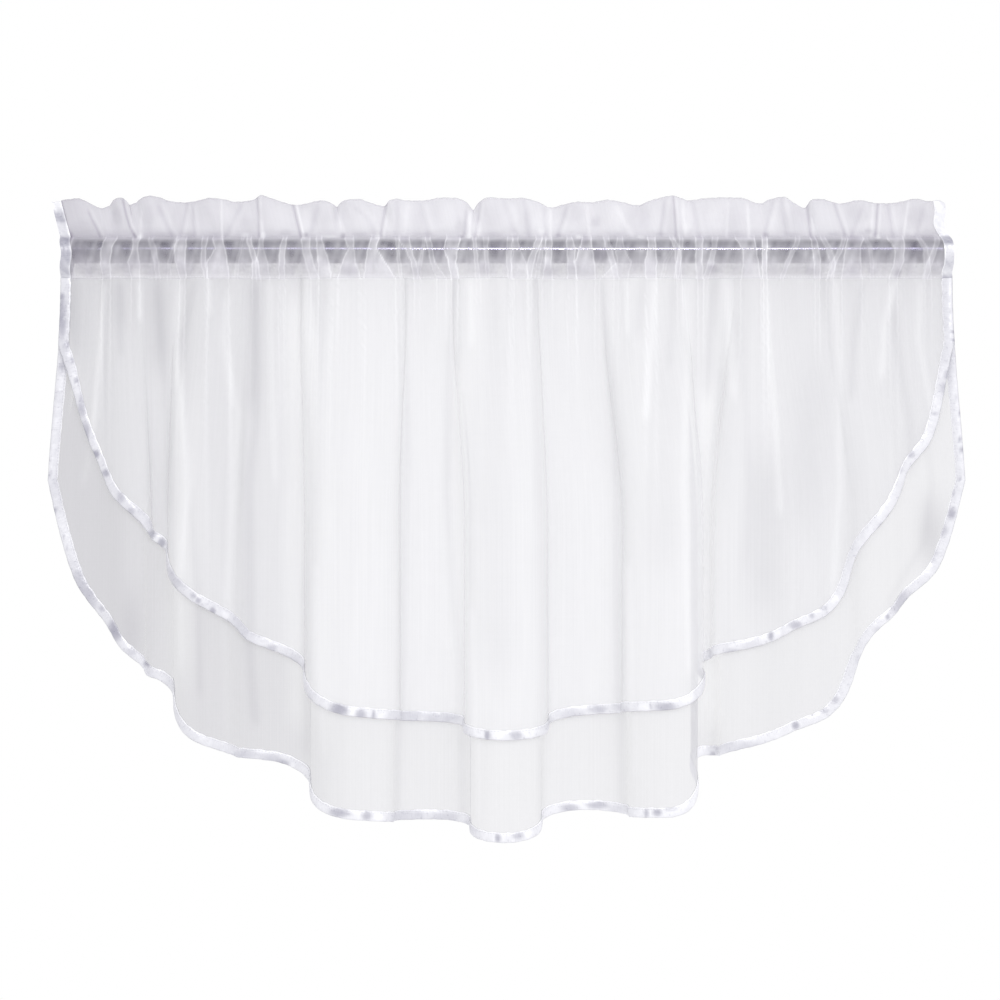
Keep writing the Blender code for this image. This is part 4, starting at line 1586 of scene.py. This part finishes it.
@dataclass
class Rod:
    """The round rod, turned from a profile with a fine edge at each end, in millimetres."""

    radius: float = 11.9
    length: float = 842.0
    edge: float = 0.8
    sides: int = 96
    stretches: int = 60
    sharp_degrees: float = 35.0

    def bar(self, maker: Maker, finish: bpy.types.Material) -> bpy.types.Object:
        """A profile turned about the rod's axis, whose first and last rings close to a point.

        Args:
            maker: makes the piece.
            finish: the metal.

        Returns:
            The bar.
        """
        half = self.length / 2.0
        inner = np.linspace(-half + self.edge, half - self.edge, self.stretches)
        x = np.concatenate(((-half, -half), inner, (half, half)))[:, None]
        end = self.radius - self.edge
        body = np.full(len(inner), self.radius)
        radius = np.concatenate(((0.0, end), body, (end, 0.0)))[:, None]
        angle = np.linspace(0.0, TURN, self.sides, endpoint=False)[None, :]
        points = spread(x, radius * np.cos(angle), radius * np.sin(angle))
        uv = np.zeros((*points.shape[:2], 2))
        piece = maker.sheet("rod_bar", points, uv, finish, closed_rows=True)
        shape = bmesh.new()
        shape.from_mesh(piece.data)
        bmesh.ops.remove_doubles(shape, verts=shape.verts, dist=TINY)
        bmesh.ops.recalc_face_normals(shape, faces=shape.faces)
        shape.to_mesh(piece.data)
        shape.free()
        piece.data.set_sharp_from_angle(angle=math.radians(self.sharp_degrees))
        return piece


@dataclass(frozen=True)
class Lamp:
    """A soft rectangular light, in metres and watts, aimed at a point."""

    name: str
    place: Triple
    size: tuple[float, float]
    power: float
    aim: Triple = (0.0, 0.0, -0.25)
    gloss_only: bool = False

    def hang(self) -> None:
        """Adds the light, facing its aim, and hidden from matt surfaces if it is for gloss only."""
        data = bpy.data.lights.new(self.name, "AREA")
        data.shape = "RECTANGLE"
        data.size, data.size_y = self.size
        data.energy = self.power
        lamp = bpy.data.objects.new(self.name, data)
        lamp.location = self.place
        lamp.visible_diffuse = not self.gloss_only
        from_aim = lamp.location - type(lamp.location)(self.aim)
        lamp.rotation_euler = from_aim.to_track_quat("Z", "Y").to_euler()
        bpy.context.scene.collection.objects.link(lamp)


@dataclass
class Studio:
    """Camera, soft lights, white surroundings and the pale floor, in metres."""

    camera_place: Triple = (-0.0071, -3.0, -0.2366)
    lens: float = 113.7
    sensor: float = 36.0
    around: Triple = (0.88, 0.88, 0.895)
    seen: Triple = (1.0, 1.0, 1.0)
    floor_level: float = -0.86
    floor_radius: float = 1.0
    floor_middle: float = 0.001
    floor_sides: int = 96
    floor_rings: int = 24
    see_through: int = 24
    lamps: tuple = (
        Lamp("key", (1.3, -2.4, 0.5), (1.4, 1.4), 10.0),
        Lamp("fill", (0.1, -2.9, 1.05), (1.6, 0.8), 16.0),
        Lamp("back_fill", (-0.4, 2.6, 0.7), (2.4, 1.6), 26.0),
        Lamp("strip", (0.195, -2.9, 0.78), (0.74, 0.06), 33.0, (0.0, 0.0, 0.0), gloss_only=True),
        Lamp("strip_wide", (0.1, -2.9, 0.78), (2.4, 0.06), 6.0, (0.0, 0.0, 0.0), gloss_only=True))

    def camera(self) -> None:
        """A level camera square to the valance."""
        data = bpy.data.cameras.new("camera")
        data.lens = self.lens
        data.sensor_width = self.sensor
        eye = bpy.data.objects.new("camera", data)
        eye.location = self.camera_place
        eye.rotation_euler = (math.pi / 2.0, 0.0, 0.0)
        bpy.context.scene.collection.objects.link(eye)
        bpy.context.scene.camera = eye

    def surroundings(self) -> None:
        """White to the camera, softer for light."""
        world = bpy.data.worlds.new("studio")
        graph = Graph(world, "Background")
        seen = graph.node("ShaderNodeLightPath", {}, {}, "Is Camera Ray")
        bpy.context.scene.world = graph.finish(Color=graph.mix(seen, self.around, self.seen))

    def floor(self, maker: Maker) -> None:
        """A round floor: rings of points about its middle.

        Args:
            maker: makes the piece.
        """
        angle = np.linspace(0.0, TURN, self.floor_sides, endpoint=False)[None, :]
        rings = np.linspace(self.floor_middle, self.floor_radius, self.floor_rings)[:, None] / MM
        points = spread(rings * np.cos(angle), rings * np.sin(angle), self.floor_level / MM)
        finish = FloorFinish(radius=self.floor_radius).material()
        maker.sheet("floor", points, points[..., :2] * MM, finish, closed_rows=True)

    def build(self, maker: Maker) -> None:
        """Sets up the camera, the lights, the surroundings and the floor.

        Args:
            maker: makes the floor.
        """
        self.camera()
        self.surroundings()
        for lamp in self.lamps:
            lamp.hang()
        self.floor(maker)
        scene = bpy.context.scene
        scene.view_settings.view_transform = "Standard"
        scene.cycles.transparent_max_bounces = self.see_through


def place(piece: bpy.types.Object, slot: str, *nodes: str) -> bpy.types.Object:
    """Rides a piece on the one body and hides the CAD nodes that it stands for.

    Args:
        piece: the piece.
        slot: not used.
        nodes: the CAD nodes that it replaces.

    Returns:
        The same piece.
    """
    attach(piece, "root")
    if nodes:
        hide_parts(*nodes)
    LOG.info("%s: %d vertices", piece.name, len(piece.data.vertices))
    return piece


BACK_HEM = (
    (218, 322), (360, 385), (400, 409), (432, 466), (480, 486), (514, 538), (542, 542), (550, 560),
    (546, 533), (537, 536), (504, 481), (480, 471), (459, 447), (404, 358), (335, 308))
FRONT_HEM = (
    (89, 165), (220, 248), (271, 279), (299, 335), (362, 380), (409, 440), (446, 448), (455, 463),
    (454, 442), (438, 434), (406, 390), (385, 377), (362, 349), (305, 260), (216, 182))
# Each panel's colour share along the rod, with painted shade: the back panel darker all over and
# deepest at the left, the front darker towards both ends.
BACK_TONES_AND_PAINTED_SHADE = (
    (-440, 0.08), (-375, 0.11), (-340, 0.25), (-315, 0.33), (-290, 0.22), (-200, 0.34),
    (-150, 0.55), (0, 0.63), (200, 0.60), (250, 0.52), (330, 0.58), (440, 0.60))
FRONT_TONES_AND_PAINTED_SHADE = (
    (-440, 0.79), (-250, 0.83), (-190, 0.93), (-100, 0.95), (-40, 0.99), (0, 0.92), (50, 0.92),
    (100, 0.99), (150, 0.91), (230, 0.86), (300, 0.81), (440, 0.70))
# Each binding's colour share along the rod, with painted shade towards both ends.
BACK_RIBBON_TONES_AND_PAINTED_SHADE = (
    (-440, 0.79), (-426, 0.77), (-410, 0.66), (-330, 0.72), (-250, 0.74), (-150, 0.84), (0, 0.84),
    (150, 0.88), (220, 0.88), (270, 0.80), (340, 0.78), (400, 0.75), (440, 0.73))
FRONT_RIBBON_TONES_AND_PAINTED_SHADE = (
    (-440, 0.86), (-426, 0.82), (-410, 0.68), (-250, 0.70), (-150, 0.80), (100, 0.82), (250, 0.78),
    (330, 0.76), (400, 0.77), (440, 0.75))
# Painted shade and glints on each binding: dark patches where its crumples are shaded, pale ones where
# they catch the light.
FRONT_PAINTED_SHADE_AND_LIGHT = PaintedShadeAndLight((
    (-420, -70, 9, 45, -0.22), (-421, -84, 6, 12, -0.10), (-353, -247, 10, 10, -0.10),
    (-328, -285, 14, 26, 0.14), (-193, -405, 10, 22, 0.13), (-102, -441, 10, 8, 0.15),
    (-60, -443, 12, 8, 0.09), (106, -433, 12, 8, 0.13), (190, -383, 14, 18, 0.12),
    (417, -80, 9, 60, -0.10), (-423, -61, 4, 19, -0.42), (-424, -43, 4, 3, -0.30),
    (-420, -64, 2, 2, 0.30), (-418, -89, 3, 3, -0.45), (-413, -104, 3, 3, -0.45),
    (-409, -123, 2.5, 3, -0.45), (-404, -147, 4, 12, -0.40), (-401, -172, 4, 12, -0.38),
    (-391, -193, 4, 4, -0.62), (-381, -211, 4, 4, -0.45), (-366, -233, 4, 6, -0.30),
    (-356, -247, 3, 4, -0.22), (-338, -269, 5, 4, -0.40), (-329, -277, 4, 5, -0.60),
    (-312, -303, 11, 16, -0.22), (-296, -327, 3, 3, -0.35), (-291, -331, 3, 3, -0.45),
    (-278, -341, 3, 4, -0.50), (-267, -345, 4, 4, 0.14), (-252, -360, 12, 10, -0.12),
    (-224, -377, 5, 3, -0.30), (-228, -374, 12, 2, 0.14), (-206, -394, 12, 8, -0.22),
    (-190, -420, 8, 10, -0.10), (-158, -433, 10, 7, -0.58), (-138, -438, 5, 6, -0.52),
    (-126, -439, 2, 5, -0.50), (-148, -436, 2, 6, 0.20), (-118, -440, 5, 6, 0.14),
    (-98, -441, 16, 8, -0.34), (-66, -443, 14, 8, -0.28), (-53, -444, 8, 6, -0.20),
    (-28, -456, 4, 6, 0.14), (-19, -458, 3, 5, -0.60), (-9, -458, 5, 6, 0.14), (8, -458, 6, 5, -0.42),
    (20, -456, 6, 5, 0.14), (36, -448, 8, 6, -0.18), (60, -440, 12, 6, -0.18), (86, -436, 10, 4, -0.40),
    (106, -434, 10, 4, -0.25), (128, -433, 4, 5, 0.12), (134, -433, 1, 6, -0.60),
    (148, -431, 11, 5, -0.50), (168, -422, 7, 7, 0.14), (190, -400, 8, 8, -0.12),
    (202, -386, 4, 4, 0.14), (213, -381, 8, 4, -0.32), (232, -373, 10, 6, -0.10),
    (249, -365, 3, 5, -0.58), (256, -361, 3, 4, 0.14), (273, -355, 7, 4, -0.45),
    (289, -346, 3, 3, -0.40), (300, -339, 4, 3, -0.42), (311, -331, 6, 4, 0.12),
    (347, -274, 4, 4, -0.55), (354, -262, 3, 4, -0.40), (361, -254, 2.5, 4, -0.40),
    (358, -232, 3, 8, -0.15), (371, -208, 4, 4, -0.30), (383, -193, 4, 4, -0.45),
    (393, -180, 2, 2, -0.35), (408, -154, 5, 1.5, -0.40), (415, -131, 5, 6, -0.32),
    (420, -119, 6, 1.5, -0.50), (420, -116, 6, 3, -0.30), (425, -100, 5, 10, 0.14),
    (426, -85, 6, 2.0, -0.60), (426, -77, 6, 2.2, -0.62), (427, -68, 3, 3, -0.35),
    (425, -36, 2, 2, -0.40)))
BACK_PAINTED_SHADE_AND_LIGHT = PaintedShadeAndLight((
    (-421, -60, 9, 45, -0.24), (-421, -84, 6, 12, -0.10), (-430, -180, 9, 60, -0.07),
    (-428, -230, 9, 22, -0.14), (-402, -320, 16, 22, -0.30), (-322, -415, 14, 22, 0.14),
    (-187, -505, 10, 20, 0.10), (178, -485, 10, 26, 0.20), (419, -75, 9, 50, -0.13),
    (-423, -61, 4, 19, -0.42), (-424, -43, 4, 3, -0.30), (-424, -111, 3, 5, -0.42),
    (-427, -137, 4, 7, -0.14), (-434, -206, 2, 2, -0.45), (-435, -214, 1.5, 3, -0.35),
    (-431, -247, 3, 3, -0.50), (-422, -273, 2, 2, -0.45), (-419, -281, 1.5, 2, -0.40),
    (-386, -340, 3, 3, -0.35), (-372, -360, 8, 11, -0.52), (-356, -380, 6, 4, -0.18),
    (-341, -392, 5, 3, -0.50), (-335, -397, 3, 3, 0.12), (-322, -415, 6, 12, -0.12),
    (-268, -466, 4, 3, 0.12), (-250, -479, 14, 4, -0.20), (-226, -483, 10, 4, -0.28),
    (-215, -488, 8, 4, -0.45), (-206, -491, 3, 4, 0.14), (-190, -510, 8, 14, -0.12),
    (-158, -531, 11, 5, -0.55), (-133, -534, 5, 5, -0.50), (-121, -536, 5, 5, 0.14),
    (-95, -538, 18, 8, -0.30), (-60, -541, 14, 8, -0.30), (-34, -547, 8, 6, -0.15),
    (-9, -555, 3, 5, -0.58), (10, -553, 6, 4, -0.42), (19, -550, 4, 5, 0.14), (60, -531, 9, 4, -0.45),
    (86, -528, 11, 4, -0.50), (104, -531, 9, 4, -0.22), (131, -532, 2.5, 5, -0.55),
    (141, -531, 5, 4, -0.60), (153, -527, 7, 3, -0.45), (166, -522, 5, 5, 0.14),
    (196, -480, 3, 3, -0.40), (222, -471, 26, 8, -0.26), (274, -451, 4, 4, -0.58),
    (290, -440, 2, 2, -0.40), (301, -437, 5, 3, -0.42), (312, -427, 4, 4, -0.40),
    (334, -388, 4, 6, -0.22), (350, -360, 4, 4, -0.20), (360, -347, 2.5, 3, -0.50),
    (373, -333, 13, 12, -0.36), (404, -288, 6, 8, -0.30), (414, -266, 5, 6, -0.35),
    (423, -249, 4, 6, -0.55), (424, -230, 3, 3, -0.30), (430, -216, 2, 3, -0.45),
    (433, -189, 3, 4, -0.50), (430, -178, 2, 3, -0.45), (430, -154, 2, 3, -0.45),
    (427, -141, 2, 2, -0.40), (426, -85, 6, 2.0, -0.60), (426, -77, 6, 2.2, -0.62),
    (427, -68, 3, 3, -0.35), (425, -36, 2, 2, -0.40)))
# Painted shade and light on the heading: dark and pale blobs in the ruffle, about its seam and over the
# rod.
HEADING_PAINTED_SHADE_AND_LIGHT = PaintedShadeAndLight((
    (-400, 22, 16, 7, -0.10), (-371, 29, 6, 14, -0.14), (-341, 30, 5, 14, -0.10),
    (-328, 25, 8, 8, 0.10), (-314, 30, 5, 15, -0.08), (-265, 33, 8, 10, 0.09), (-248, 24, 11, 8, -0.11),
    (-219, 30, 12, 12, 0.07), (-191, 28, 5, 14, 0.11), (-178, 32, 8, 10, -0.09), (-162, 22, 8, 7, 0.09),
    (-136, 28, 10, 9, 0.09), (-109, 26, 4, 12, 0.09), (-85, 28, 5, 16, -0.09), (-56, 32, 9, 12, 0.10),
    (-45, 24, 5, 6, -0.13), (-29, 20, 5, 8, 0.15), (-16, 32, 9, 14, -0.09), (5, 34, 7, 10, 0.09),
    (7, 17, 3, 4, -0.13), (20, 30, 4, 14, -0.08), (31, 28, 6, 12, 0.09), (62, 36, 12, 9, -0.11),
    (84, 29, 5, 5, -0.17), (103, 30, 8, 12, 0.11), (124, 32, 12, 12, -0.13), (141, 28, 6, 12, 0.07),
    (154, 30, 6, 14, -0.09), (170, 34, 7, 10, 0.10), (197, 30, 8, 14, 0.09), (214, 30, 8, 14, -0.10),
    (252, 28, 5, 14, 0.10), (273, 30, 12, 11, -0.11), (301, 28, 11, 14, 0.08), (332, 36, 11, 9, -0.10),
    (345, 24, 7, 7, 0.09), (368, 30, 6, 12, 0.07), (390, 34, 10, 10, -0.13), (-64, 1, 9, 9, -0.30),
    (-43, -1, 7, 8, 0.22), (-7, 1, 9, 9, -0.20), (52, 0, 9, 9, -0.10), (88, -4, 9, 6, -0.30),
    (337, 0, 10, 8, -0.16), (384, 0, 10, 8, -0.18), (-375, -13, 12, 4, 0.10), (-417, 13, 5, 6, -0.35),
    (-404, -3, 9, 7, -0.20), (-348, 13.5, 3, 3, 0.30), (-330, 15, 14, 2.5, -0.08),
    (-302, 14.5, 5, 4.5, -0.12), (-278, 12.5, 7, 5, -0.10), (-249, 15, 4, 2, 0.20),
    (-232, 14.5, 3, 3, 0.25), (-211, 17, 6, 2.5, -0.14), (-192, 15, 3, 2, -0.35),
    (-168, 13.5, 9, 1.5, 0.28), (-156, 14, 2.5, 3, -0.26), (-140, 16, 7, 2.5, -0.14),
    (-123, 13, 3, 3, 0.26), (-98, 10, 5, 5, -0.20), (-76, 16, 8, 2.5, -0.14), (-50, 8, 5, 4, -0.10),
    (-44, 13.5, 3, 1.5, -0.24), (-37, 13.7, 4, 2.5, 0.24), (-14, 15.5, 9, 2.5, -0.15),
    (6, 16.5, 3, 2.5, 0.25), (32, 18, 4, 3, 0.20), (50, 15, 5, 2, -0.18), (68, 12.6, 3.5, 2, 0.34),
    (73, 8, 5, 7, -0.20), (82, 25, 5, 4, -0.15), (103, 15, 8, 2.5, -0.08), (127, 12.5, 4, 2, 0.25),
    (146, 16, 6, 2, -0.15), (170, 22, 4, 4, 0.18), (183, 6, 4, 9, -0.10), (215, 15, 8, 2.5, -0.10),
    (246, 14.8, 3, 2, -0.26), (270, 16, 8, 2.5, -0.14), (291, 9, 3.5, 6, -0.20), (310, 16, 6, 2, -0.14),
    (328, 9, 6, 6, -0.20), (343, 19.5, 4, 2.5, -0.30), (351, 12.6, 3, 2, 0.30), (384, 18, 5, 3, 0.20),
    (398, 12, 8, 3, -0.18), (-363, -15, 14, 4, -0.10), (-351, -22, 5, 4, 0.16),
    (-300, -18, 8, 6, -0.08), (-275, -19, 9, 8, 0.12), (-241, -17, 8, 6, 0.12),
    (-200, -15, 9, 6, -0.12), (-169, -20, 9, 6, 0.15), (-150, -20, 10, 5, -0.15),
    (-115, -18, 9, 7, 0.08), (-83, -20, 10, 5, -0.12), (-48, -19, 9, 7, 0.10), (-20, -18, 8, 6, -0.15),
    (12, -17, 8, 6, 0.12), (42, -20, 8, 5, -0.15), (62, -17, 7, 6, -0.08), (96, -20, 8, 8, 0.15),
    (122, -16, 10, 5, -0.12), (150, -20, 10, 6, 0.06), (174, -18, 8, 6, 0.10),
    (196, -17.5, 5, 4, -0.25), (240, -18, 9, 6, 0.08), (278, -20, 20, 4, -0.12), (306, -19, 6, 6, 0.12),
    (330, -18, 7, 7, -0.15), (371, -22, 4, 4, -0.25), (392, -16, 9, 6, 0.10)), glint=0.2)
# Painted shade of the end bindings by level: darker over the rod and at places above and below it.
LEFT_END_PAINTED_SHADE = (
    (-26, 0.50), (-15, 0.42), (-11, 0.25), (2, 0.24), (9, 0.10), (12, 0.2), (14, 0.60), (25, 0.64),
    (29, 0.25), (36, 0.30), (40, 0.92), (50, 0.95))
RIGHT_END_PAINTED_SHADE = (
    (-26, 0.1), (-21, 0.8), (-12, 0.45), (-3, 0.7), (3, 0.85), (7, 0.1), (12, 0.2), (15, 0.85),
    (50, 0.85))


def make_finishes() -> dict[str, bpy.types.Material]:
    """Builds each finish once.

    Returns:
        The materials by name.
    """
    heading = VoileFinish("voile_heading", shade=(0.32, 0.292, 0.37), light=(0.94, 0.935, 0.963))
    finishes = {
        "voile": VoileFinish("voile_front"), "heading": heading,
        "voile_back": VoileFinish("voile_rear"), "satin": SatinFinish(), "rod": MetalFinish(),
        "thread": ThreadFinish()}
    return {name: finish.material() for name, finish in finishes.items()}


def dress_panel(panel: Panel, maker: Maker, finishes: dict[str, bpy.types.Material]) -> None:
    """Args:
        panel: the panel.
        maker: makes the pieces.
        finishes: the materials by name.
    """
    slot = "voile" if panel.side is Side.FRONT else "voile_back"
    cloth = place(panel.cloth(maker, finishes[slot]), slot, f"{panel.name}_panel")
    band = place(panel.ribbon(maker, finishes["satin"]), "satin", f"{panel.name}_ribbon")
    place(panel.stitching(maker, finishes["thread"]), "satin")
    edge = panel.outline(panel.ribbon_width - panel.under_ribbon)


def dress_heading(heading: Heading, maker: Maker, finishes: dict[str, bpy.types.Material]) -> None:
    """Args:
        heading: the heading.
        maker: makes the pieces.
        finishes: the materials by name.
    """
    strip = place(heading.cloth(maker, finishes["heading"]), "voile", "heading")
    for name, right, tones_and_painted_shade in (("left", False, LEFT_END_PAINTED_SHADE), ("right", True, RIGHT_END_PAINTED_SHADE)):
        piece = heading.ribbon(maker, f"heading_end_{name}", right, tones_and_painted_shade, finishes["satin"])
        place(piece, "satin", f"heading_ribbon_{name}")
    place(heading.stitching(maker, finishes["thread"]), "satin")


def main() -> None:
    """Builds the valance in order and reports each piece."""
    logging.basicConfig(level=logging.INFO, format="%(name)s %(message)s")
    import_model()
    maker = Maker()
    folds = FoldPlan()
    pleats = Pleats()
    finishes = make_finishes()
    back = Panel(
        "back", Side.BACK, folds, pleats, LONG_CREASES, hem=BACK_HEM, hem_end=218.0,
        tones_and_painted_shade=BACK_TONES_AND_PAINTED_SHADE, ribbon_tones_and_painted_shade=BACK_RIBBON_TONES_AND_PAINTED_SHADE, patches=BACK_PAINTED_SHADE_AND_LIGHT, seed=3,
        slant_clear=0.10)
    front = Panel(
        "front", Side.FRONT, folds, pleats, LONG_CREASES, hem=FRONT_HEM, hem_end=87.0,
        tones_and_painted_shade=FRONT_TONES_AND_PAINTED_SHADE, ribbon_tones_and_painted_shade=FRONT_RIBBON_TONES_AND_PAINTED_SHADE, patches=FRONT_PAINTED_SHADE_AND_LIGHT, seed=13)
    dress_panel(back, maker, finishes)
    dress_panel(front, maker, finishes)
    dress_heading(Heading(folds, pleats, RUFFLE_CREASES, HEADING_PAINTED_SHADE_AND_LIGHT), maker, finishes)
    place(Rod().bar(maker, finishes["rod"]), "rod", "rod")
    Studio().build(maker)
    LOG.info("%d triangles", maker.triangles)


if __name__ == "__main__":
    main()
